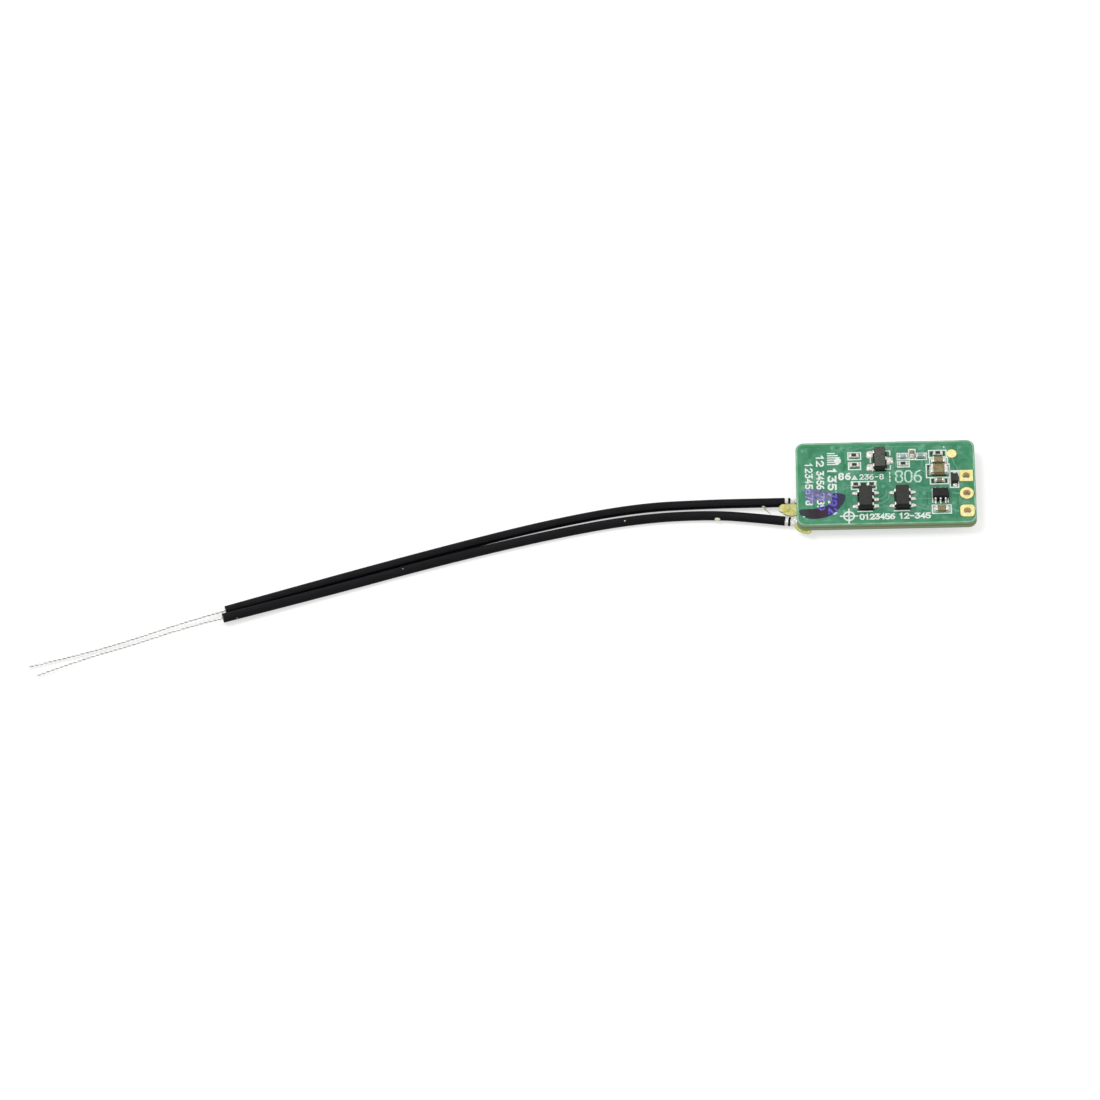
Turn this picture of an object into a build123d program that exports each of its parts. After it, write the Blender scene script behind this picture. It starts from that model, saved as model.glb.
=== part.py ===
from build123d import *

import os
from dataclasses import dataclass
from math import atan2, pi, radians, tan

# Small radio control receiver: a bare circuit board with parts on both faces and two coax antennas.
# Millimetres. The origin is on the table, under the middle of the board. +X runs along the board to
# its three plated holes, the antennas leave towards -X, and +Z is up, to the face with the print.

# Board
board_length = 21.5
board_width = 12.0
board_thickness = 1.0
board_corner = 1.0
foot_height = 1.3

board_under = foot_height
board_top = board_under + board_thickness

# Places along the board are counted in columns of its layout grid, 0.05 apart
layout_columns = 430

# Plated holes for a three pin header, and the bare gold test pad
hole_pitch = 2.54
hole_from_edge = 1.1
hole_row_shift = -1.74
hole_bore = 0.92
plating_wall = 0.05
plating_clearance = 0.01
pad_thickness = 0.04
pad_square = 1.62
pad_round = 1.65
pad_soft_square = 1.7
pad_soft_corner = 0.45
test_pad_diameter = 1.2
test_pad_column = 160
test_pad_y = 4.05

barrel_diameter = hole_bore + 2 * plating_wall
hole_x = board_length / 2 - hole_from_edge

# Coax antennas
jacket_diameter = 1.13
braid_diameter = 0.93
dielectric_diameter = 0.68
core_diameter = 0.24
braid_length = 2.75
collar_offset = 0.42
collar_width = 0.24
stub_length = 0.65
core_reach = 0.65
core_cover = 0.1
braid_joint_length = 0.8
braid_joint_width = 1.4
braid_joint_offset = 1.6
joint_skin = 0.07
solder_film = 0.03
core_joint_diameter = 0.9
core_joint_height = 0.5
core_joint_draft = 32

# A soldered cable hangs close under the board's lower face
cable_level = board_under - solder_film - braid_diameter / 2

# Share of a run that the arc at its end may take up
arc_share = 0.45

# Antenna routes, chosen by eye: first the jacket, then the stripped end that it leaves bare
rear_jacket_route = [
    (-12.15, -1.55, cable_level),
    (-15.3, -1.55, cable_level),
    (-21.2, -1.43, 0.6),
    (-30.0, -1.73, 0.57),
    (-41.0, -3.96, 0.57),
    (-54.0, -7.64, 0.57),
    (-67.0, -11.6, 0.59),
    (-79.0, -15.4, 0.64),
]
rear_element_route = [
    (-79.0, -15.4, 0.64),
    (-84.04, -16.996, 0.661),
    (-90.2, -19.3, 0.53),
    (-96.3, -21.2, 0.45),
    (-102.25, -22.7, 0.40),
]
front_jacket_route = [
    (-12.15, -4.25, cable_level),
    (-15.2, -3.77, cable_level),
    (-21.0, -2.97, 0.6),
    (-30.0, -3.33, 0.57),
    (-41.0, -5.51, 0.57),
    (-54.0, -8.95, 0.57),
    (-67.25, -13.0, 0.60),
    (-79.25, -16.68, 0.98),
]
front_element_route = [
    (-79.25, -16.68, 0.98),
    (-84.29, -18.2256, 1.1396),
    (-90.0, -20.34, 1.0),
    (-95.7, -21.92, 0.74),
    (-101.2, -24.0, 0.46),
]

# Glue between the cables at the board's end, and under the board's front corner
bead_middle = (-11.35, -2.9)
bead_length = 2.2
bead_width = 1.48
bead_turn = 0
corner_middle = (-10.05, -5.72)
corner_length = 2.3
corner_width = 0.84
corner_turn = -28
glue_drop = 0.7
glue_draft = 22

# Bind switch on the lower face, measured away from the board
switch_column = -146
switch_y = 3.4
switch_length = 3.0
switch_width = 2.6
switch_corner = 0.25
switch_housing_height = 0.64
switch_floor = 0.2
switch_chamber_diameter = 2.2
switch_sheet = 0.08
switch_tab_width = 1.4
switch_tab_end = 0.28
switch_cover_length = 2.6
terminal_length = 0.75
terminal_outside = 0.35
terminal_width = 0.5
terminal_thickness = 0.12
terminal_spread = 1.7
button_travel = 0.2
dome_diameter = 2.0
dome_flat_height = 0.03
dome_sheet = 0.05
button_diameter = 1.4
button_clearance = 0.05
button_flange_diameter = 2.0
button_flange_height = 0.12
button_nub_diameter = 0.6
button_end_play = 0.02
button_proud = 0.28
button_edge = 0.08

# Supply capacitors in line with the holes, on the upper face
supply_from_holes = 3.25

# Diode with flat tabs, on the upper face
diode_from_holes = 1.38
diode_y = 0.25
diode_length = 1.2
diode_width = 0.8
diode_height = 0.62
diode_draft = 6
diode_span = 1.75
diode_tab_length = 0.5
diode_tab_width = 0.34
diode_tab_thickness = 0.13

# The crystal, the lights and the flat packages on the lower face
crystal_length = 3.2
crystal_width = 2.5
crystal_base_height = 0.3
crystal_notch = 0.22
crystal_lid_margin = 0.15
crystal_lid_height = 0.4
crystal_lid_corner = 0.35
crystal_lid_edge = 0.08
foot_from_holes = 2.45
light_length = 1.6
light_width = 0.8
light_base_height = 0.25
lens_length = 1.0
lens_height = 0.35
lens_draft = 10


@dataclass
class GullWingPackage:
    """Sizes of a small moulded package on bent leads."""

    body_length: float
    body_width: float
    body_height: float
    standoff: float
    span: float
    foot: float
    pitch: float
    lead_width: float
    lead_thickness: float
    bend: float
    draft: float


@dataclass
class Chip:
    """Sizes of a ceramic chip with metal ends."""

    length: float
    width: float
    height: float
    end: float
    proud: float


@dataclass
class FlatPackage:
    """Sizes of a moulded package with lands in its lower edges."""

    size: float
    height: float
    lands_per_side: int
    land_pitch: float
    land_width: float
    land_length: float
    land_height: float
    pad_size: float
    key: float


switching_transistor = GullWingPackage(
    body_length=2.9, body_width=1.35, body_height=0.98, standoff=0.08, span=2.5, foot=0.45,
    pitch=0.95, lead_width=0.42, lead_thickness=0.14, bend=0.08, draft=7,
)
voltage_regulator = GullWingPackage(
    body_length=2.9, body_width=1.6, body_height=1.1, standoff=0.1, span=2.8, foot=0.45,
    pitch=0.95, lead_width=0.4, lead_thickness=0.15, bend=0.08, draft=7,
)
logic_gate = GullWingPackage(
    body_length=1.9, body_width=1.25, body_height=0.85, standoff=0.08, span=2.2, foot=0.3,
    pitch=0.6, lead_width=0.22, lead_thickness=0.12, bend=0.07, draft=7,
)

small_resistor = Chip(length=1.0, width=0.5, height=0.35, end=0.22, proud=0.02)
small_inductor = Chip(length=1.0, width=0.5, height=0.5, end=0.2, proud=0.02)
small_capacitor = Chip(length=1.0, width=0.5, height=0.5, end=0.24, proud=0.02)
medium_capacitor = Chip(length=1.6, width=0.8, height=0.6, end=0.33, proud=0.02)
large_capacitor = Chip(length=2.0, width=1.2, height=0.8, end=0.42, proud=0.025)
foot_capacitor = Chip(length=2.0, width=1.25, height=foot_height, end=0.45, proud=0.025)

rf_transceiver = FlatPackage(
    size=4.0, height=0.85, lands_per_side=5, land_pitch=0.5, land_width=0.23, land_length=0.5,
    land_height=0.2, pad_size=2.4, key=0.35,
)
rf_amplifier = FlatPackage(
    size=3.0, height=0.75, lands_per_side=4, land_pitch=0.5, land_width=0.25, land_length=0.4,
    land_height=0.2, pad_size=1.5, key=0.3,
)
controller = FlatPackage(
    size=5.0, height=0.6, lands_per_side=8, land_pitch=0.5, land_width=0.25, land_length=0.4,
    land_height=0.2, pad_size=3.4, key=0.4,
)


def save(piece, label):
    piece.part.label = label
    export_step(piece.part, "parts/" + label + ".step")


def column_x(column):
    """Where a column of the layout grid lies, counted from the board's middle."""
    return column * board_length / layout_columns


def top_seat(x, y, turn=0):
    """Plane on the board's upper face, normal up."""
    return Plane(origin=(x, y, board_top)).rotated((0, 0, turn))


def under_seat(x, y, turn=0):
    """Plane on the board's lower face, normal down."""
    return Plane(origin=(x, y, board_under), z_dir=(0, 0, -1)).rotated((0, 0, turn))


def upright_plane(seat, side, along):
    """Plane across a seat: x points outwards on that side, y points away from the board."""
    return Plane(
        origin=seat.from_local_coords(Vector(0, along, 0)),
        x_dir=seat.x_dir * side,
        z_dir=seat.y_dir * -side,
    )


def gull_wing_part(label, seat, package, right_leads, left_leads):
    """Moulded body and its bent leads. Leads are counted in pitches from the middle."""
    lead_level = package.standoff + package.body_height / 2
    half_lead = package.lead_thickness / 2
    root = package.body_width / 4
    shoulder = package.body_width / 2 + package.lead_thickness
    tip = package.span / 2
    knee = tip - package.foot
    fall = atan2(lead_level - half_lead, knee - shoulder)
    mitre = half_lead * tan(fall / 2)
    shoulder_bend = (shoulder + mitre, lead_level + half_lead)
    knee_bend = (knee - mitre, 0)
    lead_outline = [
        (root, lead_level + half_lead),
        shoulder_bend,
        (knee + mitre, package.lead_thickness),
        (tip, package.lead_thickness),
        (tip, 0),
        knee_bend,
        (shoulder - mitre, lead_level - half_lead),
        (root, lead_level - half_lead),
    ]
    with BuildPart() as leads:
        for side, slots in ((1, right_leads), (-1, left_leads)):
            for slot in slots:
                with BuildSketch(upright_plane(seat, side, slot * package.pitch)) as profile:
                    with BuildLine():
                        Polyline(*lead_outline, close=True)
                    make_face()
                    corners = profile.vertices()
                    bends = [corners.sort_by_distance(bend)[0] for bend in (shoulder_bend, knee_bend)]
                    chamfer(bends, length=package.bend)
                extrude(amount=package.lead_width / 2, both=True)
    save(leads, label + "_leads")

    parting = seat.offset(lead_level)
    with BuildPart() as body:
        with BuildSketch(parting):
            Rectangle(package.body_width, package.body_length)
        extrude(amount=package.standoff + package.body_height - lead_level, taper=package.draft)
        with BuildSketch(-parting):
            Rectangle(package.body_width, package.body_length)
        extrude(amount=lead_level - package.standoff, taper=package.draft)
        add(leads.part, mode=Mode.SUBTRACT)
    save(body, label + "_body")


def chip_part(label, seat, chip):
    """Ceramic chip whose two metal ends stand a little proud of it."""
    end_shift = (chip.length - chip.end) / 2
    with BuildPart() as piece:
        with BuildSketch(seat.offset(chip.proud)):
            Rectangle(chip.length - chip.end, chip.width - 2 * chip.proud)
        extrude(amount=chip.height - 2 * chip.proud)
        with BuildSketch(seat) as ends:
            with Locations((-end_shift, 0), (end_shift, 0)):
                Rectangle(chip.end, chip.width)
            chamfer(ends.vertices(), length=chip.proud)
        extrude(amount=chip.height)
    save(piece, label)


def flat_package_part(label, seat, package):
    """Moulded block with a row of lands in each lower edge and a heat pad in the middle."""
    edge_shift = (package.size - package.land_length) / 2
    with BuildPart() as lands:
        with BuildSketch(seat):
            for turn in (0, 90, 180, 270):
                with Locations(Location((0, 0), turn)):
                    with Locations((edge_shift, 0)):
                        with GridLocations(1, package.land_pitch, 1, package.lands_per_side):
                            Rectangle(package.land_length, package.land_width)
            Rectangle(package.pad_size, package.pad_size)
        extrude(amount=package.land_height)
    save(lands, label + "_lands")

    with BuildPart() as body:
        with BuildSketch(seat) as outline:
            Rectangle(package.size, package.size)
        extrude(amount=package.height)
        key_edge = body.edges().filter_by(Axis.Z).sort_by(Axis((0, 0, 0), (-1, 1, 0)))[-1]
        chamfer(key_edge, length=package.key)
        add(lands.part, mode=Mode.SUBTRACT)
    save(body, label + "_body")


def plated_hole(label, x, y, pad_outline):
    """Plated barrel with a pad on each face, bored for a header pin."""
    with BuildPart() as eyelet:
        for level in (board_under - pad_thickness, board_top):
            with BuildSketch(Plane((x, y, level))):
                pad_outline()
            extrude(amount=pad_thickness)
        with BuildSketch(Plane((x, y, board_under))):
            Circle(barrel_diameter / 2)
        extrude(amount=board_thickness)
        with BuildSketch(Plane((x, y, board_under - pad_thickness))):
            Circle(hole_bore / 2)
        extrude(amount=board_thickness + 2 * pad_thickness, mode=Mode.SUBTRACT)
    save(eyelet, label)


def bend_radii(route):
    """Radius of the arc at each corner: as large as its two runs allow."""
    points = [Vector(*point) for point in route]
    radii = []
    for before, corner, after in zip(points, points[1:], points[2:]):
        turn = (corner - before).get_angle(after - corner)
        run = min((corner - before).length, (after - corner).length)
        radii.append(arc_share * run / tan(radians(turn / 2)))
    return radii


def cable_part(label, route, diameter):
    """Round cable along straight runs joined by tangent arcs."""
    radii = bend_radii(route)
    with BuildPart() as cable:
        with BuildLine() as path:
            FilletPolyline(*route, radius=radii)
        with BuildSketch(Plane(origin=path.line @ 0, z_dir=path.line % 0)):
            Circle(diameter / 2)
        sweep()
    length = sum(edge.length for edge in path.edges())
    print(label, "length", round(length, 2), "volume", round(cable.part.volume, 3),
          "section times length", round(length * pi * diameter**2 / 4, 3),
          "radii", [round(radius) for radius in radii])
    save(cable, label)


def antenna_parts(label, jacket_route, element_route):
    """One antenna: jacket, stripped end, and the braid, collar and core end at the board."""
    cable_part(label + "_jacket", jacket_route, jacket_diameter)
    cable_part(label + "_element", element_route, dielectric_diameter)

    start = Vector(*jacket_route[0])
    outward = Vector(*jacket_route[1]) - start
    inward = Vector(-outward.X, -outward.Y, 0).normalized()
    cut = Plane(origin=start, x_dir=Vector(0, 0, 1).cross(inward), z_dir=inward)

    with BuildPart() as braid:
        with BuildSketch(cut):
            Circle(braid_diameter / 2)
        extrude(amount=braid_length)
    save(braid, label + "_braid")

    with BuildPart() as collar:
        with BuildSketch(cut.offset(collar_offset)):
            Circle(jacket_diameter / 2)
            Circle(braid_diameter / 2, mode=Mode.SUBTRACT)
        extrude(amount=collar_width)
    save(collar, label + "_collar")

    stub_cut = cut.offset(braid_length)
    stub_end = stub_cut.offset(stub_length)
    core_rise = board_under - cable_level - core_diameter / 2 - core_cover
    core_tip = stub_end.from_local_coords(Vector(0, core_rise, core_reach))
    with BuildPart() as core:
        with BuildSketch(stub_cut):
            Circle(dielectric_diameter / 2)
        extrude(amount=stub_length)
        with BuildLine() as path:
            Line(stub_end.origin, core_tip)
        with BuildSketch(Plane(origin=path.line @ 0, z_dir=path.line % 0)):
            Circle(core_diameter / 2)
        sweep()
    save(core, label + "_core_end")
    return braid, core, cut, core_tip


def solder_joints(antennas):
    """Solder that holds each antenna's braid and core to the board's lower face."""
    hang = board_under - cable_level
    reach = hang + joint_skin
    with BuildPart() as joints:
        for braid, core, cut, core_tip in antennas:
            with BuildSketch(cut.offset(braid_joint_offset)):
                with BuildLine():
                    seat_line = Line((-braid_joint_width / 2, hang), (braid_joint_width / 2, hang))
                    Line(seat_line @ 1, (reach, 0))
                    ThreePointArc((reach, 0), (0, -reach), (-reach, 0))
                    Line((-reach, 0), seat_line @ 0)
                make_face()
            extrude(amount=braid_joint_length)
            with BuildSketch(under_seat(core_tip.X, core_tip.Y)):
                Circle(core_joint_diameter / 2)
            extrude(amount=core_joint_height, taper=core_joint_draft)
        for braid, core, cut, core_tip in antennas:
            add(braid.part, mode=Mode.SUBTRACT)
            add(core.part, mode=Mode.SUBTRACT)
    save(joints, "antenna_solder")
    return joints


os.makedirs("parts", exist_ok=True)

# Circuit board
hole_places = [(hole_x, hole_row_shift + hole_pitch * step) for step in (1, 0, -1)]
with BuildPart() as printed_circuit_board:
    with BuildSketch(Plane.XY.offset(board_under)):
        RectangleRounded(board_length, board_width, board_corner)
        with Locations(*hole_places):
            Circle(barrel_diameter / 2 + plating_clearance, mode=Mode.SUBTRACT)
    extrude(amount=board_thickness)
save(printed_circuit_board, "printed_circuit_board")

# Plated holes: the first pad is square, the second round, the third square with soft corners
plated_hole("plated_hole_1", *hole_places[0],
            lambda: Rectangle(pad_square, pad_square))
plated_hole("plated_hole_2", *hole_places[1],
            lambda: Circle(pad_round / 2))
plated_hole("plated_hole_3", *hole_places[2],
            lambda: RectangleRounded(pad_soft_square, pad_soft_square, pad_soft_corner))

with BuildPart() as test_pad:
    with BuildSketch(top_seat(column_x(test_pad_column), test_pad_y)):
        Circle(test_pad_diameter / 2)
    extrude(amount=pad_thickness)
save(test_pad, "test_pad")

# Moulded parts on the upper face
gull_wing_part("transistor", top_seat(column_x(-13), 3.2), switching_transistor, (0,), (-1, 1))
gull_wing_part("regulator_1", top_seat(column_x(-49), -2.5), voltage_regulator, (-1, 0, 1), (-1, 1))
gull_wing_part("regulator_2", top_seat(column_x(39), -2.5), voltage_regulator, (-1, 0, 1), (-1, 1))
gull_wing_part("logic_gate", top_seat(column_x(130), -2.05, 90), logic_gate, (-1, 0, 1), (-1, 0, 1))

# Diode: a moulded block whose two flat tabs leave it at the board
diode_seat = top_seat(hole_x - diode_from_holes, diode_y, 90)
with BuildPart() as diode_tabs:
    with BuildSketch(diode_seat):
        with GridLocations(diode_span - diode_tab_length, 1, 2, 1):
            Rectangle(diode_tab_length, diode_tab_width)
    extrude(amount=diode_tab_thickness)
save(diode_tabs, "diode_tabs")

with BuildPart() as diode_body:
    with BuildSketch(diode_seat):
        Rectangle(diode_length, diode_width)
    extrude(amount=diode_height, taper=diode_draft)
    add(diode_tabs.part, mode=Mode.SUBTRACT)
save(diode_body, "diode_body")

# Chips on the upper face
chip_part("resistor_1", top_seat(column_x(-75), 3.92), small_resistor)
chip_part("resistor_2", top_seat(column_x(-74), 2.54), small_resistor)
chip_part("resistor_3", top_seat(column_x(43), 2.58), small_resistor)
chip_part("resistor_4", top_seat(column_x(127), 4.05), small_resistor)
chip_part("resistor_5", top_seat(column_x(-72), -0.3), small_resistor)
chip_part("resistor_6", top_seat(column_x(-34), -0.3), small_resistor)
chip_part("inductor_1", top_seat(column_x(43), 3.65), small_inductor)
chip_part("inductor_2", top_seat(column_x(86), 3.71), small_inductor)
chip_part("capacitor_1", top_seat(column_x(65), 4.1, 90), small_capacitor)
chip_part("capacitor_2", top_seat(hole_x - supply_from_holes, 2.95), medium_capacitor)
chip_part("capacitor_3", top_seat(hole_x - supply_from_holes, 1.52), large_capacitor)
chip_part("capacitor_4", top_seat(column_x(129), 0.12), small_capacitor)
chip_part("capacitor_5", top_seat(column_x(132), -4.05), medium_capacitor)

# Chips on the lower face: the two tall power capacitors are what the board stands on
chip_part("power_capacitor_1", under_seat(hole_x - foot_from_holes, 4.2), foot_capacitor)
chip_part("power_capacitor_2", under_seat(hole_x - foot_from_holes, -4.2), foot_capacitor)
chip_part("under_capacitor_1", under_seat(column_x(-62), 0.4, 90), small_capacitor)
chip_part("under_capacitor_2", under_seat(column_x(52), 3.8), small_capacitor)
chip_part("under_capacitor_3", under_seat(column_x(58), -4.0), small_capacitor)

# Flat packages on the lower face
flat_package_part("rf_transceiver", under_seat(column_x(-12), -2.6), rf_transceiver)
flat_package_part("rf_amplifier", under_seat(column_x(-100), -2.6), rf_amplifier)
flat_package_part("controller", under_seat(column_x(98), 0.1), controller)

# Crystal in a ceramic base with a metal lid
crystal_seat = under_seat(column_x(-4), 2.7)
with BuildPart() as crystal_base:
    with BuildSketch(crystal_seat):
        Rectangle(crystal_length, crystal_width)
        with GridLocations(crystal_length, crystal_width, 2, 2):
            Circle(crystal_notch, mode=Mode.SUBTRACT)
    extrude(amount=crystal_base_height)
save(crystal_base, "crystal_base")

lid_length = crystal_length - 2 * crystal_lid_margin
lid_width = crystal_width - 2 * crystal_lid_margin
with BuildPart() as crystal_lid:
    with BuildSketch(crystal_seat.offset(crystal_base_height)):
        RectangleRounded(lid_length, lid_width, crystal_lid_corner)
    extrude(amount=crystal_lid_height)
    chamfer(crystal_lid.faces().sort_by(Axis.Z)[0].edges(), length=crystal_lid_edge)
save(crystal_lid, "crystal_lid")

# Status lights, one red and one green
for label, light_seat in (
    ("status_light_red", under_seat(column_x(-78), 4.7)),
    ("status_light_green", under_seat(column_x(-78), 3.2)),
):
    with BuildPart() as status_light:
        with BuildSketch(light_seat):
            Rectangle(light_length, light_width)
        extrude(amount=light_base_height)
        with BuildSketch(light_seat.offset(light_base_height)):
            Rectangle(lens_length, light_width)
        extrude(amount=lens_height, taper=lens_draft)
    save(status_light, label)

# Bind switch
switch_seat = under_seat(column_x(switch_column), switch_y)
chamber_mouth = switch_seat.offset(switch_housing_height)

with BuildPart() as switch_terminals:
    with BuildSketch(switch_seat):
        terminal_middle = switch_length / 2 + terminal_outside - terminal_length / 2
        with GridLocations(2 * terminal_middle, terminal_spread, 2, 2):
            Rectangle(terminal_length, terminal_width)
    extrude(amount=terminal_thickness)
save(switch_terminals, "switch_terminals")

with BuildPart() as switch_housing:
    with BuildSketch(switch_seat) as outline:
        Rectangle(switch_length, switch_width)
        chamfer(outline.vertices(), length=switch_corner)
    extrude(amount=switch_housing_height)
    with BuildSketch(switch_seat.offset(switch_floor)):
        Circle(switch_chamber_diameter / 2)
    extrude(amount=switch_housing_height - switch_floor, mode=Mode.SUBTRACT)
    add(switch_terminals.part, mode=Mode.SUBTRACT)
save(switch_housing, "switch_housing")

with BuildPart() as switch_cover:
    with BuildSketch(chamber_mouth):
        Rectangle(switch_cover_length, switch_width)
        Rectangle(switch_tab_width, switch_width + 2 * switch_sheet)
        Circle(button_diameter / 2 + button_clearance, mode=Mode.SUBTRACT)
    extrude(amount=switch_sheet)
    with BuildSketch(switch_seat.offset(switch_tab_end)):
        with GridLocations(1, switch_width + switch_sheet, 1, 2):
            Rectangle(switch_tab_width, switch_sheet)
    extrude(amount=switch_housing_height - switch_tab_end)
save(switch_cover, "switch_cover")

# The button's flange is caught under the cover, and its nub rests on the dome
flange_top = switch_housing_height - button_end_play
flange_bottom = flange_top - button_flange_height
dome_height = button_travel + dome_flat_height
dome_top = switch_floor + dome_height
with BuildPart() as bind_button:
    with BuildSketch(switch_seat.offset(dome_top)):
        Circle(button_nub_diameter / 2)
    extrude(amount=flange_bottom - dome_top)
    with BuildSketch(switch_seat.offset(flange_bottom)):
        Circle(button_flange_diameter / 2)
    extrude(amount=button_flange_height)
    with BuildSketch(switch_seat.offset(flange_top)):
        Circle(button_diameter / 2)
    extrude(amount=button_end_play + switch_sheet + button_proud)
    chamfer(bind_button.faces().sort_by(Axis.Z)[0].edges(), length=button_edge)
save(bind_button, "bind_button")

with BuildPart() as switch_dome:
    with BuildSketch(upright_plane(switch_seat.offset(switch_floor), 1, 0)):
        with BuildLine():
            outer = TangentArc((0, dome_height), (dome_diameter / 2, 0), tangent=(1, 0))
            inner = TangentArc((0, dome_height - dome_sheet),
                               (dome_diameter / 2 - dome_sheet, 0), tangent=(1, 0))
            Line(outer @ 0, inner @ 0)
            Line(outer @ 1, inner @ 1)
        make_face()
    revolve(axis=Axis(switch_seat.origin, (0, 0, 1)))
save(switch_dome, "switch_dome")

# Antennas and what holds them
antennas = [
    antenna_parts("rear_antenna", rear_jacket_route, rear_element_route),
    antenna_parts("front_antenna", front_jacket_route, front_element_route),
]
joints = solder_joints(antennas)

with BuildPart() as cable_glue:
    for middle, length, width, turn in (
        (bead_middle, bead_length, bead_width, bead_turn),
        (corner_middle, corner_length, corner_width, corner_turn),
    ):
        with BuildSketch(under_seat(*middle, -turn)):
            SlotOverall(length, width)
        extrude(amount=glue_drop, taper=glue_draft)
    add(joints.part, mode=Mode.SUBTRACT)
save(cable_glue, "cable_glue")
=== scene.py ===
import math

import bmesh
import bpy
from mathutils import Matrix, Vector, noise


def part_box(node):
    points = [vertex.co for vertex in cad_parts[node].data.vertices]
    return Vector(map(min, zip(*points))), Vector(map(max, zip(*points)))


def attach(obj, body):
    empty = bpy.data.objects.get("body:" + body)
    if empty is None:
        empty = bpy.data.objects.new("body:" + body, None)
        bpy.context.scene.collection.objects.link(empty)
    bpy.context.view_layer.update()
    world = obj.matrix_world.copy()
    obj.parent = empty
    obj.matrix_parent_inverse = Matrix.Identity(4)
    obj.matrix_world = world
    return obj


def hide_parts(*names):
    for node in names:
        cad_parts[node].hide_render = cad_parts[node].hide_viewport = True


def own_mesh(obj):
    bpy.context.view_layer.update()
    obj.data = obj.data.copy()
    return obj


# Small radio receiver board with two coax antennas. Places and sizes are in millimetres, and each
# mesh is scaled to metres when its piece is made.
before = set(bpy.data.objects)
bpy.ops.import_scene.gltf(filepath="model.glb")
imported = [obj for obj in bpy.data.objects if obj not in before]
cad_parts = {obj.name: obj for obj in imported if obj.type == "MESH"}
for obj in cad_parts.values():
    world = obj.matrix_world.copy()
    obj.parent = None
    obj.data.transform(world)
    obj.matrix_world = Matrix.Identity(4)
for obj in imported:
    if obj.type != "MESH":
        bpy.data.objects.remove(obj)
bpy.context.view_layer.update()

mm = 0.001
mainBody = "board_assembly"
buttonBody = "button"


def nodeBox(node):  # a solid's lowest and highest corner, its middle and half its size
    low, high = [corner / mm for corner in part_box(node)]
    return low, high, (low + high) / 2, (high - low) / 2


boardLow, boardHigh = nodeBox("printed_circuit_board")[:2]
boardTop = boardHigh.z
boardUnder = boardLow.z


# Camera

camera = {
    "target": (-40.3639, -7.1884, 0.0),
    "azimuth": 3.9872,
    "elevation": 55.9447,
    "roll": -4.4645,
    "distance": 750.0,
    "sensor": 36.0,
    "lens": 204.84,  # 6258.95 px of focal length over 1100 px
    "clip": (10, 20000),
}


def makeCamera(spec):
    azimuth, elevation, roll = [math.radians(spec[key]) for key in ("azimuth", "elevation", "roll")]
    back = Vector((math.sin(azimuth) * math.cos(elevation),
                   -math.cos(azimuth) * math.cos(elevation),
                   math.sin(elevation)))
    right = Vector((math.cos(azimuth), math.sin(azimuth), 0))
    up = back.cross(right)
    tiltedRight = math.cos(roll) * right + math.sin(roll) * up
    tiltedUp = math.cos(roll) * up - math.sin(roll) * right
    data = bpy.data.cameras.new("camera")
    data.sensor_width = spec["sensor"]
    data.lens = spec["lens"]
    data.clip_start, data.clip_end = [value * mm for value in spec["clip"]]
    obj = bpy.data.objects.new("camera", data)
    place = (Vector(spec["target"]) + back * spec["distance"]) * mm
    turn = Matrix((tiltedRight, tiltedUp, back)).transposed().to_4x4()
    obj.matrix_world = Matrix.Translation(place) @ turn
    bpy.context.scene.collection.objects.link(obj)
    bpy.context.scene.camera = obj


makeCamera(camera)
print("camera in place")


# Colours and nodes

def toLinear(hexColour):  # sRGB hex to the linear numbers that the shaders take
    channels = [int(hexColour[start:start + 2], 16) / 255 for start in (1, 3, 5)]
    return tuple(c / 12.92 if c <= 0.04045 else ((c + 0.055) / 1.055) ** 2.4 for c in channels) + (1.0,)


def addNode(tree, kind, settings=None, links=None):  # a link is a value, or a node with its output
    node = tree.nodes.new(kind)
    for name, value in (settings or {}).items():
        setattr(node, name, value)
    for socket, value in (links or {}).items():
        if isinstance(value, tuple) and isinstance(value[0], bpy.types.Node):
            tree.links.new(value[0].outputs[value[1]], node.inputs[socket])
        else:
            node.inputs[socket].default_value = value
    return node


def startMaterial(name, colour, roughness, metallic=0.0, **shader):
    material = bpy.data.materials.new(name)
    material.use_nodes = True
    tree = material.node_tree
    surface = tree.nodes["Principled BSDF"]
    surface.inputs["Base Color"].default_value = toLinear(colour)
    surface.inputs["Roughness"].default_value = roughness
    surface.inputs["Metallic"].default_value = metallic
    for socket, value in shader.items():
        surface.inputs[socket.replace("_", " ")].default_value = value
    return material, tree, surface


def perMetre(sizeInMm):  # a texture's scale for features of that size
    return 1 / (sizeInMm * mm)


grainTones = (0.32, 0.68)  # noise values that take the first and the last colour
grainRange = (0.3, 0.7)  # noise values that take the least and the most roughness


def setStops(ramp, stops):  # places from 0 to 1 on a colour ramp, each with its colour
    elements = ramp.color_ramp.elements
    for _ in stops[2:]:
        elements.new(0.5)
    for element, (place, colour) in zip(elements, stops):
        element.position = place
        element.color = toLinear(colour)


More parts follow.
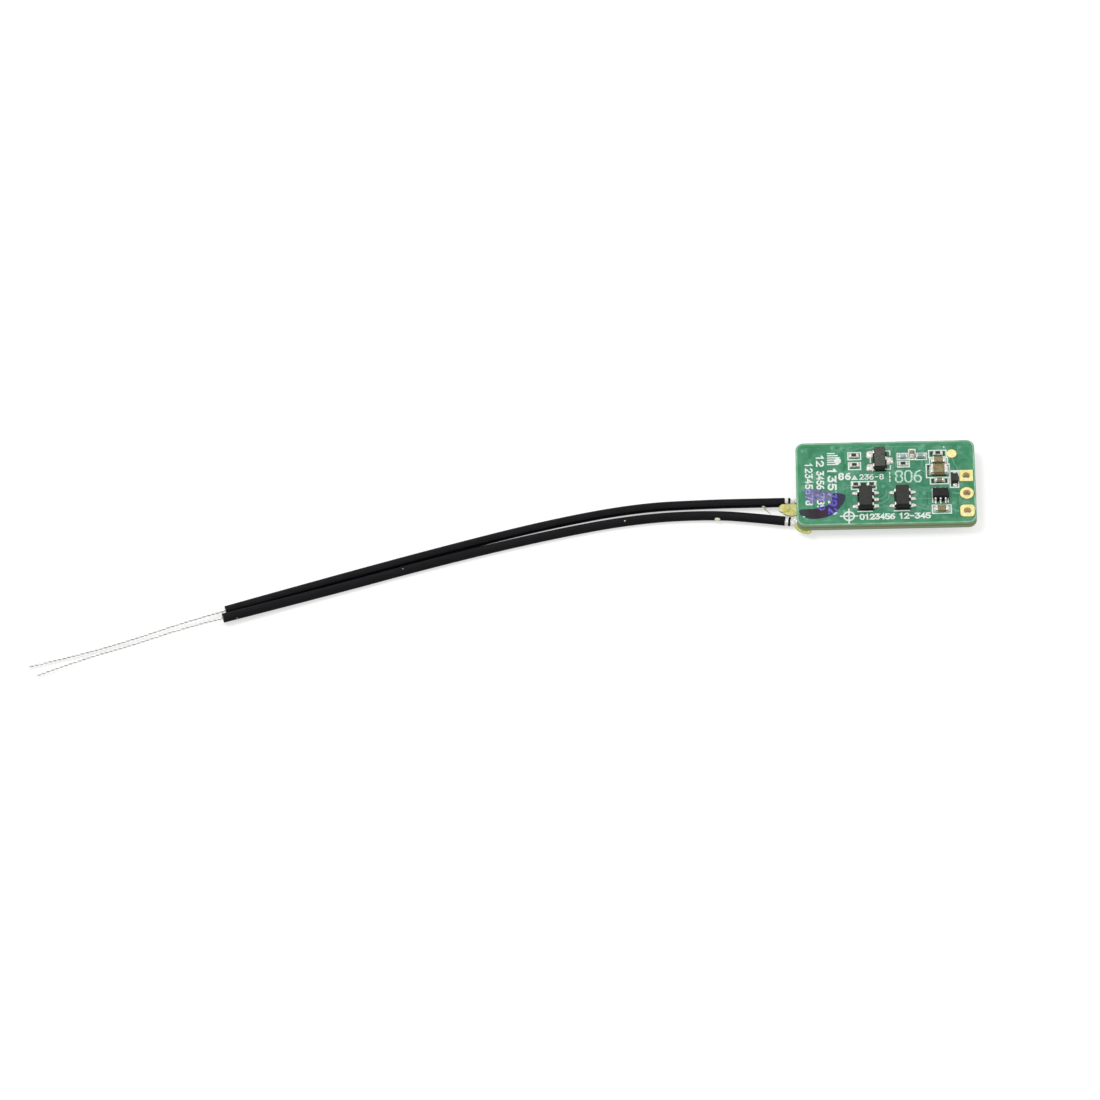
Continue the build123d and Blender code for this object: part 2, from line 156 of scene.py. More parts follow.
def addGrain(tree, surface, size, colours=None, roughness=None, bump=0.0, stretch=(1, 1, 1)):
    # Noise of that size in the colour, the roughness and the relief
    place = addNode(tree, "ShaderNodeTexCoord")
    stretched = addNode(tree, "ShaderNodeVectorMath", {"operation": "MULTIPLY"}, {0: (place, "Object"), 1: stretch})
    grain = addNode(tree, "ShaderNodeTexNoise", {}, {
        "Vector": (stretched, "Vector"), "Scale": perMetre(size), "Detail": 4.0, "Roughness": 0.6})
    if colours:
        ramp = addNode(tree, "ShaderNodeValToRGB", {}, {"Fac": (grain, "Fac")})
        first, last = grainTones
        setStops(ramp, [(first + (last - first) * step / (len(colours) - 1), colour)
                        for step, colour in enumerate(colours)])
        tree.links.new(ramp.outputs["Color"], surface.inputs["Base Color"])
    if roughness:
        spread = addNode(tree, "ShaderNodeMapRange", {}, {
            "Value": (grain, "Fac"), "From Min": grainRange[0], "From Max": grainRange[1],
            "To Min": roughness[0], "To Max": roughness[1]})
        tree.links.new(spread.outputs["Result"], surface.inputs["Roughness"])
    if bump:
        relief = addNode(tree, "ShaderNodeBump", {}, {
            "Height": (grain, "Fac"), "Strength": 0.6, "Distance": bump * mm})
        tree.links.new(relief.outputs["Normal"], surface.inputs["Normal"])
    return grain


def makeFinish(name, colour, roughness, size, colours, spread=None, bump=0.0, stretch=(1, 1, 1), metallic=0.0,
               **shader):
    # A material with grain of that size in its colour, and where given in its roughness and relief
    material, tree, surface = startMaterial(name, colour, roughness, metallic, **shader)
    addGrain(tree, surface, size, colours, spread, bump, stretch)
    return material


def faceLevel(tree):  # 1 on a face that looks up or down, 0 on an upright one
    facing = addNode(tree, "ShaderNodeNewGeometry")
    axes = addNode(tree, "ShaderNodeSeparateXYZ", {}, {"Vector": (facing, "Normal")})
    return addNode(tree, "ShaderNodeMath", {"operation": "ABSOLUTE"}, {0: (axes, "Z")})


def paintWallShading(material, colour, metallic=None):
    # Painted light and shade: upright faces take that colour, and may mirror less
    tree = material.node_tree
    surface = tree.nodes["Principled BSDF"]
    flatColour = surface.inputs["Base Color"].links[0].from_node
    level = faceLevel(tree)
    blend = addNode(tree, "ShaderNodeMix", {"data_type": "RGBA"}, {
        "Factor": (level, "Value"), 6: toLinear(colour), 7: (flatColour, "Color")})
    tree.links.new(blend.outputs[2], surface.inputs["Base Color"])
    if metallic:
        mirroring = addNode(tree, "ShaderNodeMapRange", {}, {
            "Value": (level, "Value"), "To Min": metallic[0], "To Max": metallic[1]})
        tree.links.new(mirroring.outputs["Result"], surface.inputs["Metallic"])


def tintAlongX(tree, surface, cloud, wander, stops):
    # Colours by their place along x in millimetres, with a ragged passage from one to the next
    spot = addNode(tree, "ShaderNodeTexCoord")
    axes = addNode(tree, "ShaderNodeSeparateXYZ", {}, {"Vector": (spot, "Object")})
    drift = addNode(tree, "ShaderNodeMath", {"operation": "MULTIPLY_ADD"}, {
        0: (cloud, "Fac"), 1: wander * mm, 2: (axes, "X")})
    first, last = stops[0][0], stops[-1][0]
    share = addNode(tree, "ShaderNodeMapRange", {}, {
        "Value": (drift, "Value"), "From Min": (first + wander / 2) * mm, "From Max": (last + wander / 2) * mm})
    ramp = addNode(tree, "ShaderNodeValToRGB", {}, {"Fac": (share, "Result")})
    setStops(ramp, [((place - first) / (last - first), colour) for place, colour in stops])
    tree.links.new(ramp.outputs["Color"], surface.inputs["Base Color"])


# Materials, each named for what the real one is, or for the painted shade or highlight that it stands for

# Photoimaged epoxy lacquer over glass cloth: glossy, and mottled by the copper and the weave under it.
# Laminate shows at the routed edges, where the face no longer looks up or down
lacquer = {
    "mottle": 1.9, "tones": [(0.34, "#207A4E"), (0.5, "#3C8A67"), (0.66, "#66A184")],
    "ply": 2.0, "plyTones": [(0, "#6F7A50"), (1, "#8FA27C")],
    "weave": 0.35, "relief": 0.012,
}


def makeSolderMask(spec):
    material, tree, surface = startMaterial("greenSolderMask", "#3C8A67", 0.3, IOR=1.5)
    spot = addNode(tree, "ShaderNodeTexCoord")
    cloud = addNode(tree, "ShaderNodeTexNoise", {}, {
        "Vector": (spot, "Object"), "Scale": perMetre(spec["mottle"]), "Detail": 6.0, "Roughness": 0.66,
        "Distortion": 0.9})
    tint = addNode(tree, "ShaderNodeValToRGB", {}, {"Fac": (cloud, "Fac")})
    setStops(tint, spec["tones"])
    flat = addNode(tree, "ShaderNodeMath", {"operation": "GREATER_THAN"}, {0: (faceLevel(tree), "Value"), 1: 0.5})
    plies = addNode(tree, "ShaderNodeTexWave", {"bands_direction": "Z"}, {
        "Vector": (spot, "Object"), "Scale": perMetre(spec["ply"]), "Distortion": 1.5, "Detail": 3.0,
        "Detail Scale": perMetre(2 * spec["ply"])})
    cut = addNode(tree, "ShaderNodeValToRGB", {}, {"Fac": (plies, "Fac")})
    setStops(cut, spec["plyTones"])
    blend = addNode(tree, "ShaderNodeMix", {"data_type": "RGBA"}, {
        "Factor": (flat, "Value"), 6: (cut, "Color"), 7: (tint, "Color")})
    tree.links.new(blend.outputs[2], surface.inputs["Base Color"])
    weave = addNode(tree, "ShaderNodeTexNoise", {}, {
        "Vector": (spot, "Object"), "Scale": perMetre(spec["weave"]), "Detail": 3.0})
    relief = addNode(tree, "ShaderNodeBump", {}, {
        "Height": (weave, "Fac"), "Strength": 0.5, "Distance": spec["relief"] * mm})
    tree.links.new(relief.outputs["Normal"], surface.inputs["Normal"])
    return material


solderMask = makeSolderMask(lacquer)

# The same lacquer over copper, lighter, and down in the gaps of the copper, darker
maskOverCopper = makeFinish("solderMaskOverCopper", "#509C7B", 0.3, 1.4, ["#41906E", "#66AB8C"], bump=0.008, IOR=1.5)
maskInGap = makeFinish("solderMaskInGap", "#206C48", 0.34, 1.1, ["#1A5F3E", "#2A7A53"], IOR=1.5)

# The same lacquer at the board's edge: a pale band, which is a painted highlight on the lacquer's round edge, and a
# saturated band just inside
maskEdgeHighlight = makeFinish("solderMaskEdgeHighlight", "#7DB394", 0.26, 1.6, ["#64A37F", "#9CC7AC"], bump=0.006, IOR=1.5)
maskBesideEdge = makeFinish("solderMaskBesideEdge", "#2F8B58", 0.3, 2.0, ["#23824D", "#4F9B72"], IOR=1.5)

# The lacquer's edge beside the gold: olive, for the bare laminate there and for painted shade along the pad's edge
oliveRimAndShade = makeFinish("solderMaskAndShadeBesideGold", "#66743A", 0.34, 0.6, ["#4F6633", "#7D8447"], IOR=1.5)

# Painted shade round the chips and packages, inside their frames and on the lower face: dark and glassy
paintedShade = makeFinish("paintedShade", "#14261C", 0.26, 0.3, ["#0D1912", "#2C4A38"], (0.16, 0.36), 0.01,
                       IOR=1.5, Specular_IOR_Level=0.3)

# Screen printed epoxy ink, white and slightly ragged, and the same ink printed thin
printInk = makeFinish("whiteEpoxyInk", "#E9F1EA", 0.55, 0.3, ["#CFE0D5", "#F6FAF6"], bump=0.006)
paleInk = makeFinish("thinEpoxyInk", "#BFDDCB", 0.5, 0.25, ["#9CCBB0", "#DDEFE4"], bump=0.006)

# Immersion gold on copper: pale, soft shine, cloudy. Its upright faces, the walls inside the plated holes, are
# painted paler and warmer and mirror less: painted light in the holes
gold = makeFinish("immersionGold", "#F2E9A2", 0.36, 0.35, ["#EADF90", "#FAF4B8"], (0.28, 0.46), 0.008, metallic=0.75)
paintWallShading(gold, "#F8E2B2", (0.25, 0.75))

# Bright tin on stamped leads
tin = makeFinish("brightTin", "#D8D4CA", 0.26, 0.2, ["#C9C6BD", "#F8F7F3"], (0.2, 0.36), 0.006, metallic=1.0)

# Soft solder, cooled smooth with a faint frost
solder = makeFinish("softSolder", "#DDD9CF", 0.24, 0.18, ["#B2AEA4", "#FDFCFA"], (0.14, 0.36), 0.014, metallic=1.0)

# Moulded epoxy with a spark eroded grain: charcoal and matt, with painted shade on its upright walls, which are
# painted darker
epoxy = makeFinish("mouldedEpoxy", "#2B2C29", 0.55, 0.22, ["#1D1E1C", "#3C3D39"], (0.44, 0.66), 0.014,
                   Specular_IOR_Level=0.3)
paintWallShading(epoxy, "#0E0F0E")
# A paler grey epoxy, whose upright walls are also painted darker: painted shade
paleEpoxy = makeFinish("wornMouldedEpoxy", "#4A4B46", 0.6, 0.28, ["#363733", "#62635C"], (0.5, 0.7), 0.014,
                       Specular_IOR_Level=0.3)
paintWallShading(paleEpoxy, "#181917")
darkEpoxy = makeFinish("polishedMouldedEpoxy", "#171617", 0.45, 0.22, ["#0F0F0F", "#252425"], (0.36, 0.56), 0.012,
                       Specular_IOR_Level=0.25)

# Glazed ruthenium resistor paste over alumina
glaze = makeFinish("resistorGlaze", "#1B1B1F", 0.22, 0.2, ["#131316", "#29292F"], (0.16, 0.3), 0.006)
alumina = makeFinish("whiteAlumina", "#E6E4DC", 0.5, 0.12, ["#DAD7CD", "#F0EEE8"])

# Fired ceramics of the inductors and capacitors
inductorCeramic = makeFinish("blueGreyFerrite", "#8AA2AC", 0.38, 0.18, ["#748E98", "#B2C8CE"], (0.3, 0.5))
capacitorCeramic = makeFinish("tanFiredCeramic", "#857850", 0.4, 0.3, ["#6A5C38", "#A39970"], (0.32, 0.5), 0.006)

# Extruded fluoropolymer jacket: black, satin, with fine drawing lines
jacket = makeFinish("blackExtrudedJacket", "#08080B", 0.36, 0.4, ["#060608", "#101015"], (0.3, 0.44), 0.01,
                    (0.2, 1, 1), IOR=1.36, Specular_IOR_Level=0.2)

# Clear insulation: nearly the colour of what lies behind it
clearSleeve = makeFinish("clearFluoropolymer", "#F1F3F3", 0.14, 0.5, None, (0.1, 0.2), IOR=1.34, Alpha=0.1)

# Silver plated copper wire, drawn and twisted
silverWire = makeFinish("silveredWire", "#F6F6F4", 0.36, 0.1, ["#E6E5E2", "#FDFDFC"], (0.28, 0.44), metallic=0.8)
# Painted shade between the strands: a dark core that shows in the grooves
wireGrooveShade = makeFinish("paintedShadeBetweenStrands", "#4E4D4B", 0.6, 0.3, ["#434241", "#5E5D5A"])

# Hot melt glue, yellowed and cloudy, and its dry crumbs
glue = makeFinish("yellowedGlue", "#EFEC8E", 0.26, 0.7, ["#C6C03C", "#EDEA8E", "#FBFAE0"], (0.16, 0.4), 0.05,
                  IOR=1.48, Transmission_Weight=0.25)
crumb = makeFinish("dryGlueCrumb", "#E6E2B0", 0.5, 0.2, ["#D6D196", "#F4F1D6"], bump=0.02)

# Spirit marker: thick over the lacquer, thin and streaky at its tail, and over the white print
markerInk, tree, surface = startMaterial("violetMarkerInk", "#241E2A", 0.45, Specular_IOR_Level=0.3)
cloud = addGrain(tree, surface, 0.8, roughness=(0.36, 0.54), bump=0.006, stretch=(0.5, 1, 1))
tintAlongX(tree, surface, cloud, 1.6, [
    (-10.4, "#28323C"), (-9.9, "#31393C"), (-9.1, "#29222D"), (-8.3, "#251A24"), (-7.6, "#391A26"),
    (-6.9, "#2E2140"), (-6.0, "#302B52"), (-5.4, "#2E2F48"), (-4.9, "#2B3339")])
markerTail = makeFinish("thinMarkerInk", "#6C7890", 0.4, 0.28, ["#4F8C6C", "#77729A", "#544A75"],
                        stretch=(1.0, 0.6, 1), Specular_IOR_Level=0.3)
markerOnPrint = makeFinish("markerInkOverPrint", "#5247B4", 0.45, 0.4, ["#3A309A", "#756BD4"], Specular_IOR_Level=0.3)
tailOnPrint = makeFinish("thinInkOverPrint", "#8F88D0", 0.45, 0.3, ["#6F66BC", "#BDB8E6"], Specular_IOR_Level=0.3)

# Lower face: moulded nylon, brushed steel, fired ceramic and tinted clear epoxy
switchPlastic = makeFinish("blackNylon", "#1C1C1E", 0.48, 0.12, ["#161618", "#262629"], bump=0.01)
steel = makeFinish("stampedStainless", "#C4C4C2", 0.3, 0.12, ["#B2B2B0", "#D8D8D6"], (0.24, 0.42), 0.006,
                   (0.15, 1, 1), metallic=1.0)
buttonPlastic = makeFinish("ivoryNylon", "#E6E2D6", 0.42, 0.15, ["#DAD6C8", "#EFECE2"], bump=0.006)
crystalCeramic = makeFinish("brownCofiredCeramic", "#5A4438", 0.5, 0.12, ["#4B382D", "#6C5548"], bump=0.008)
redLens = makeFinish("redEpoxyLens", "#E46A5C", 0.18, 0.4, ["#D85C50", "#EE8578"], IOR=1.5, Transmission_Weight=0.5)
greenLens = makeFinish("greenEpoxyLens", "#86C98C", 0.18, 0.4, ["#74BC7C", "#9FD9A2"], IOR=1.5,
                       Transmission_Weight=0.5)
print("materials made")


# Mesh tools: everything is closed and built from rings of points

def circlePoints(count):
    return [(math.cos(2 * math.pi * k / count), math.sin(2 * math.pi * k / count)) for k in range(count)]


def blockRing(halfX, halfY, corner, z, x=0.0, y=0.0, steps=3):
    corner = min(corner, halfX, halfY)
    ring = []
    for quarter, (sideX, sideY) in enumerate(((1, 1), (-1, 1), (-1, -1), (1, -1))):
        for step in range(steps + 1):
            angle = (quarter + step / steps) * math.pi / 2
            ring.append(Vector((x + sideX * (halfX - corner) + corner * math.cos(angle),
                                y + sideY * (halfY - corner) + corner * math.sin(angle), z)))
    return ring


def roundRing(radius, z, x=0.0, y=0.0, count=16):
    return [Vector((x + radius * across, y + radius * up, z)) for across, up in circlePoints(count)]


def addRings(mesh, rings, seat=None, slot=0, closed=False):
    seat = seat or Matrix.Identity(4)
    rows = [[mesh.verts.new(seat @ point) for point in ring] for ring in rings]
    faces = []
    for lower, upper in list(zip(rows, rows[1:])) + ([(rows[-1], rows[0])] if closed else []):
        count = len(lower)
        for k in range(count):
            faces.append(mesh.faces.new((lower[k], lower[(k + 1) % count], upper[(k + 1) % count], upper[k])))
    if not closed:
        faces.append(mesh.faces.new(list(reversed(rows[0]))))
        faces.append(mesh.faces.new(rows[-1]))
    for face in faces:
        face.material_index = slot


def addPlate(mesh, outline, low, high, seat):
    addRings(mesh, [[Vector((point[0], point[1], z)) for point in outline] for z in (low, high)], seat)


def topEdge(halfX, halfY, high, corner, edge, draft=0.0, steps=3):
    # Rings over a round top edge, on sides that slope in by the draft
    rings = []
    for step in range(4):
        angle = step / 3 * math.pi / 2
        inset = draft + edge * (1 - math.cos(angle))
        level = high - edge * (1 - math.sin(angle))
        rings.append(blockRing(halfX - inset, halfY - inset, corner, level, steps=steps))
    return rings


def roundedBlock(halfX, halfY, low, high, corner=0.03, edge=0.03, draft=0.0, steps=3):
    return ([blockRing(halfX, halfY, corner, low, steps=steps)]
            + topEdge(halfX, halfY, high, corner, edge, draft, steps))


def frameAlong(places, level=False):  # distance, point and two directions across, at each place of a line
    rows, run, side = [], 0.0, None
    for k, place in enumerate(places):
        along = (places[min(k + 1, len(places) - 1)] - places[max(k - 1, 0)]).normalized()
        first = along.cross(Vector((0, 0, 1))) if level else along.orthogonal()
        side = (side - side.dot(along) * along if side else first).normalized()
        if k:
            run += (place - places[k - 1]).length
        rows.append((run, place, side, along.cross(side)))
    return rows


def addTube(mesh, points, radius, sides=6, slot=0):
    # A round wire along points, capped at both ends
    rings = []
    for _, point, side, other in frameAlong([Vector(point) for point in points]):
        rings.append([point + radius * (across * side + up * other) for across, up in circlePoints(sides)])
    addRings(mesh, rings, slot=slot)


def addRibbon(mesh, points, width, low, high, closed=False, seat=None, slot=0):
    # A flat strip with mitred corners, a printed line or a copper track. It climbs by a hair at each
    # point, so that strokes which cross never share a plane
    climb = 0.0005
    flat = [Vector((point[0], point[1])) for point in points]
    count = len(flat)
    rings = []
    for k, here in enumerate(flat):
        before = flat[k - 1] if closed or k else None
        after = flat[(k + 1) % count] if closed or k < count - 1 else None
        ways = [(here - before).normalized() if before else None, (after - here).normalized() if after else None]
        ways = [way or ways[1 - place] for place, way in enumerate(ways)]
        sides = [Vector((-way.y, way.x)) for way in ways]
        mitre = (sides[0] + sides[1]).normalized()
        reach = width / 2 / max(mitre.dot(sides[0]), 0.45)
        shift = Vector((0, 0))
        if not closed and k in (0, count - 1):
            shift = ways[0] * (width / 2 if k else -width / 2)
        left, right = here + mitre * reach + shift, here - mitre * reach + shift
        top = high + climb * k
        rings.append([Vector((left.x, left.y, low)), Vector((left.x, left.y, top)),
                      Vector((right.x, right.y, top)), Vector((right.x, right.y, low))])
    addRings(mesh, rings, seat, slot, closed=closed)


def topSeat(x, y, turn=0):
    return Matrix.Translation((x, y, boardTop)) @ Matrix.Rotation(math.radians(turn), 4, "Z")


def underSeat(x, y, turn=0):
    return (Matrix.Translation((x, y, boardUnder)) @ Matrix.Rotation(math.pi, 4, "X")
            @ Matrix.Rotation(math.radians(turn), 4, "Z"))


def makePiece(name, mesh, materials, body=mainBody, replaces=(), sharpAngle=35):
    bmesh.ops.remove_doubles(mesh, verts=mesh.verts, dist=1e-5)
    bmesh.ops.recalc_face_normals(mesh, faces=mesh.faces)
    bmesh.ops.scale(mesh, vec=(mm, mm, mm), verts=mesh.verts)
    data = bpy.data.meshes.new(name)
    mesh.to_mesh(data)
    mesh.free()
    data.shade_smooth()
    data.set_sharp_from_angle(angle=math.radians(sharpAngle))
    for material in materials:
        data.materials.append(material)
    obj = bpy.data.objects.new(name, data)
    bpy.context.scene.collection.objects.link(obj)
    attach(obj, body)
    if replaces:
        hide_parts(*replaces)
    return obj


def makeFlat(name, mesh, material):  # print, lacquer and whatever else lies flat on the board
    makePiece(name, mesh, [material], sharpAngle=60)


def dressSolid(node, material):  # a solid that keeps its shape gets its finish
    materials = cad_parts[node].data.materials
    materials.clear()
    materials.append(material)


def camelName(node):
    first, *others = node.split("_")
    return first + "".join(part.capitalize() for part in others)


# Antennas: the jackets and the stripped ends follow the same points as the solids

cableLevel = 0.805
antennas = {
    "rearAntenna": {
        "node": "rear_antenna",
        "jacketLength": 68.75,
        "jacket": [
            (-12.15, -1.55, cableLevel),
            (-15.3, -1.55, cableLevel),
            (-21.2, -1.43, 0.6),
            (-30.0, -1.73, 0.57),
            (-41.0, -3.96, 0.57),
            (-54.0, -7.64, 0.57),
            (-67.0, -11.6, 0.59),
            (-79.0, -15.4, 0.64),
        ],
        "element": [
            (-79.0, -15.4, 0.64),
            (-84.04, -16.996, 0.661),
            (-90.2, -19.3, 0.53),
            (-96.3, -21.2, 0.45),
            (-102.25, -22.7, 0.40),
        ],
    },
    "frontAntenna": {
        "node": "front_antenna",
        "jacketLength": 68.99,
        "jacket": [
            (-12.15, -4.25, cableLevel),
            (-15.2, -3.77, cableLevel),
            (-21.0, -2.97, 0.6),
            (-30.0, -3.33, 0.57),
            (-41.0, -5.51, 0.57),
            (-54.0, -8.95, 0.57),
            (-67.25, -13.0, 0.60),
            (-79.25, -16.68, 0.98),
        ],
        "element": [
            (-79.25, -16.68, 0.98),
            (-84.29, -18.2256, 1.1396),
            (-90.0, -20.34, 1.0),
            (-95.7, -21.92, 0.74),
            (-101.2, -24.0, 0.46),
        ],
    },
}
coax = {
    "jacket": 1.13,
    "insulation": 0.68,
    "strand": 0.115,
    "strandReach": 0.066,  # from the wire's middle to a strand's
    "groove": 0.15,  # across the dark core of painted shade that shows between the strands
    "strandLay": 1.12,  # length of one turn of the twisted wires
    "strands": 2,
    "wireStep": 0.08,
    "sleeveStep": 0.5,
    "stubLength": 0.65,
    "coreReach": 0.65,
    "coreCover": 0.1,
    "coreRadius": 0.123,
}
braidSpec = {
    "across": 0.93,
    "length": 2.75,
    "lay": 5.2,
    "carriers": 8,
    "wires": 4,
    "wire": 0.05,
    "wirePitch": 1.05,  # in wires
    "weave": 0.024,  # how far a wire rises and dips as it crosses the others
    "under": 0.075,  # depth of the braid's inner layer
    "steps": 44,
}
collarSpec = {"offset": 0.42, "width": 0.24, "lip": 0.04, "play": 0.005, "sides": 28}


def makeRoute(name, points, bevel=0.0):
    curve = bpy.data.curves.new(name, "CURVE")
    curve.dimensions = "3D"
    curve.resolution_u = 12
    spline = curve.splines.new("NURBS")
    spline.points.add(len(points) - 1)
    for place, point in zip(spline.points, points):
        place.co = (*[value * mm for value in point], 1)
    spline.order_u = 3
    spline.use_endpoint_u = True
    if bevel:
        curve.bevel_depth = bevel * mm
        curve.bevel_resolution = 8
        curve.use_fill_caps = True
    return curve


def readRoute(points):  # points along the smooth line, in millimetres
    curve = makeRoute("routeToRead", points)
    obj = bpy.data.objects.new("routeToRead", curve)
    bpy.context.scene.collection.objects.link(obj)
    bpy.context.view_layer.update()
    line = bpy.data.meshes.new_from_object(obj)
    places = [vertex.co / mm for vertex in line.vertices]
    bpy.data.objects.remove(obj)
    bpy.data.curves.remove(curve)
    bpy.data.meshes.remove(line)
    return places


def resample(places, step):  # evenly spaced points on a read line
    rows = frameAlong(places, level=True)
    total = rows[-1][0]
    count = max(2, round(total / step))
    spaced, k = [], 0
    for index in range(count + 1):
        wanted = total * index / count
        while k < len(rows) - 2 and rows[k + 1][0] < wanted:
            k += 1
        share = (wanted - rows[k][0]) / max(rows[k + 1][0] - rows[k][0], 1e-9)
        spaced.append(rows[k][1].lerp(rows[k + 1][1], min(max(share, 0), 1)))
    return spaced


def inwardFrom(route):  # level direction from a jacket's first point in under the board
    outward = Vector(route[1]) - Vector(route[0])
    return Vector((-outward.x, -outward.y, 0)).normalized()


def addHelix(mesh, rows, reachAt, lay, phase, wire, sides, slot=0):
    points = []
    for run, place, side, other in rows:
        angle = phase + 2 * math.pi * run / lay
        points.append(place + reachAt(run) * (math.cos(angle) * side + math.sin(angle) * other))
    addTube(mesh, points, wire / 2, sides, slot)


def addStrands(mesh, rows, slot=0):
    # A dark core of painted shade, then the strands twisted round it
    addTube(mesh, [row[1] for row in rows], coax["groove"] / 2, sides=10, slot=slot + 1)
    for k in range(coax["strands"]):
        addHelix(mesh, rows, lambda run: coax["strandReach"], coax["strandLay"],
                 2 * math.pi * k / coax["strands"], coax["strand"], 8, slot)


def makeElement(name, points):
    places = resample(readRoute(points), coax["wireStep"])
    strands = bmesh.new()
    addStrands(strands, frameAlong(places, level=True))
    sleeve = bmesh.new()
    addTube(sleeve, resample(places, coax["sleeveStep"]), coax["insulation"] / 2, sides=24)
    return [
        makePiece(name + "Wire", strands, [silverWire, wireGrooveShade]),
        makePiece(name + "Sleeve", sleeve, [clearSleeve]),
    ]


def addBraid(mesh, rows, spec):
    addTube(mesh, [row[1] for row in rows[::spec["steps"] // 2]], spec["across"] / 2 - spec["under"], sides=24)
    for way in (1, -1):
        for carrier in range(spec["carriers"]):
            for wire in range(spec["wires"]):
                spread = (wire - (spec["wires"] - 1) / 2) * spec["wire"] / (spec["across"] / 2) * spec["wirePitch"]
                addHelix(mesh, rows, lambda run: spec["across"] / 2 - spec["wire"] + way * spec["weave"] * math.sin(
                    spec["carriers"] * 2 * math.pi * run / spec["lay"] + carrier * math.pi),
                    way * spec["lay"], carrier * 2 * math.pi / spec["carriers"] + spread, spec["wire"], 5)


def addCollar(mesh, start, inward, across, spec):
    outer, inner = coax["jacket"] / 2, braidSpec["across"] / 2 + spec["play"]
    low, high, lip = spec["offset"], spec["offset"] + spec["width"], spec["lip"]
    rings = []
    for along, reach in ((low, inner), (low, outer - lip), (low + lip, outer), (high - lip, outer),
                         (high, outer - lip), (high, inner)):
        rings.append([start + inward * along + reach * (right * across[0] + up * across[1])
                      for right, up in circlePoints(spec["sides"])])
    addRings(mesh, rings, closed=True)


def makeBraidEnd(name, spec):
    # Exposed braid with its thin collar, then the stripped core that runs to its solder joint
    start, inward = Vector(spec["jacket"][0]), inwardFrom(spec["jacket"])
    steps = braidSpec["steps"]
    rows = frameAlong([start + inward * braidSpec["length"] * k / steps for k in range(steps + 1)], level=True)
    braid, collar, core = bmesh.new(), bmesh.new(), bmesh.new()
    addBraid(braid, rows, braidSpec)
    addCollar(collar, start, inward, rows[0][2:], collarSpec)
    stub = start + inward * braidSpec["length"]
    stubEnd = stub + inward * coax["stubLength"]
    rise = boardUnder - cableLevel - coax["coreRadius"] - coax["coreCover"]
    tip = stubEnd + inward * coax["coreReach"] + Vector((0, 0, rise))
    addTube(core, [stub, stubEnd], coax["insulation"] / 2, sides=20)
    addStrands(core, frameAlong([stubEnd.lerp(tip, k / 12) for k in range(13)], level=True), slot=1)
    node = spec["node"]
    return [
        makePiece(name + "Braid", braid, [silverWire], replaces=[node + "_braid"]),
        makePiece(name + "Collar", collar, [jacket], replaces=[node + "_collar"]),
        makePiece(name + "CoreEnd", core, [clearSleeve, silverWire, wireGrooveShade],
                  replaces=[node + "_core_end"]),
    ], tip


coreTips = {}
cordPieces = {}
for antenna, spec in antennas.items():
    curve = makeRoute(antenna + "Jacket", spec["jacket"], coax["jacket"] / 2)
    curve.materials.append(jacket)
    obj = bpy.data.objects.new(antenna + "Jacket", curve)
    bpy.context.scene.collection.objects.link(obj)
    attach(obj, mainBody)
    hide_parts(spec["node"] + "_jacket")
    wireAndSleeve = makeElement(antenna, spec["element"])
    for piece in wireAndSleeve:
        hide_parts(spec["node"] + "_element")
    ends, coreTips[antenna] = makeBraidEnd(antenna, spec)
    cordPieces[antenna] = wireAndSleeve + ends
print("antennas laid")


# Glue between the cables and under the front corner, with crumbs of it on the cables

glueBeads = {
    "web": {"middle": (-12.2, -2.72), "half": (0.72, 0.62), "turn": 8, "drop": 0.6, "dome": 0.14},
    "between": {"middle": (-11.35, -2.95), "half": (1.15, 0.86), "turn": 0, "drop": 0.78, "dome": 0},
    "corner": {"middle": (-10.05, -5.72), "half": (1.15, 0.42), "turn": -28, "drop": 0.7, "dome": 0},
}
crumbs = [  # place, radius, stretched along x
    (-14.72, -2.06, 0.8, 0.17, 1.5, "rearAntenna"),
    (-20.26, -3.74, 0.78, 0.23, 1.5, "frontAntenna"),
    (-31.35, -3.9, 1.05, 0.1, 1.2, "frontAntenna"),
    (-77.56, -16.72, 1.0, 0.07, 1.2, "frontAntenna"),
    (-57.9, -10.24, 1.12, 0.06, 1.0, "frontAntenna"),
]
crumbShape = {"flat": 0.8, "rough": 0.35, "fine": 9}
crumbThread = {
    "route": [(-14.72, -2.1, 0.74), (-14.47, -2.23, 0.4), (-14.2, -2.4, 0.16), (-13.88, -2.62, 0.06)],
    "radius": 0.045,
    "root": 0.1,
}
lump = {"levels": 7, "domeLevels": 4, "bulge": 2.2, "least": 0.12, "rise": 1.5, "fine": 2.1}


def addLump(mesh, seat, halfX, halfY, drop, seed, rough=0.12, count=20, power=0.55, dome=0.0):
    # It hangs from its seat and narrows downwards, and may rise over the seat in a dome
    rings = []
    for level in range(-lump["domeLevels"] if dome else 0, lump["levels"] + 1):
        if level > 0:
            share = level / lump["levels"]
            swell = max(1 - share ** lump["bulge"], 0.0) ** power
        else:
            turn = level / lump["domeLevels"] * math.pi / 2
            share = dome / drop * math.sin(turn)
            swell = math.cos(turn)
        swell = max(swell, lump["least"])
        ring = []
        for across, up in circlePoints(count):
            wobble = 1 + rough * noise.noise(Vector((across, up, share * lump["rise"] + seed)) * lump["fine"])
            ring.append(Vector((across * halfX * swell * wobble, up * halfY * swell * wobble, share * drop)))
        rings.append(ring)
    addRings(mesh, rings, seat)


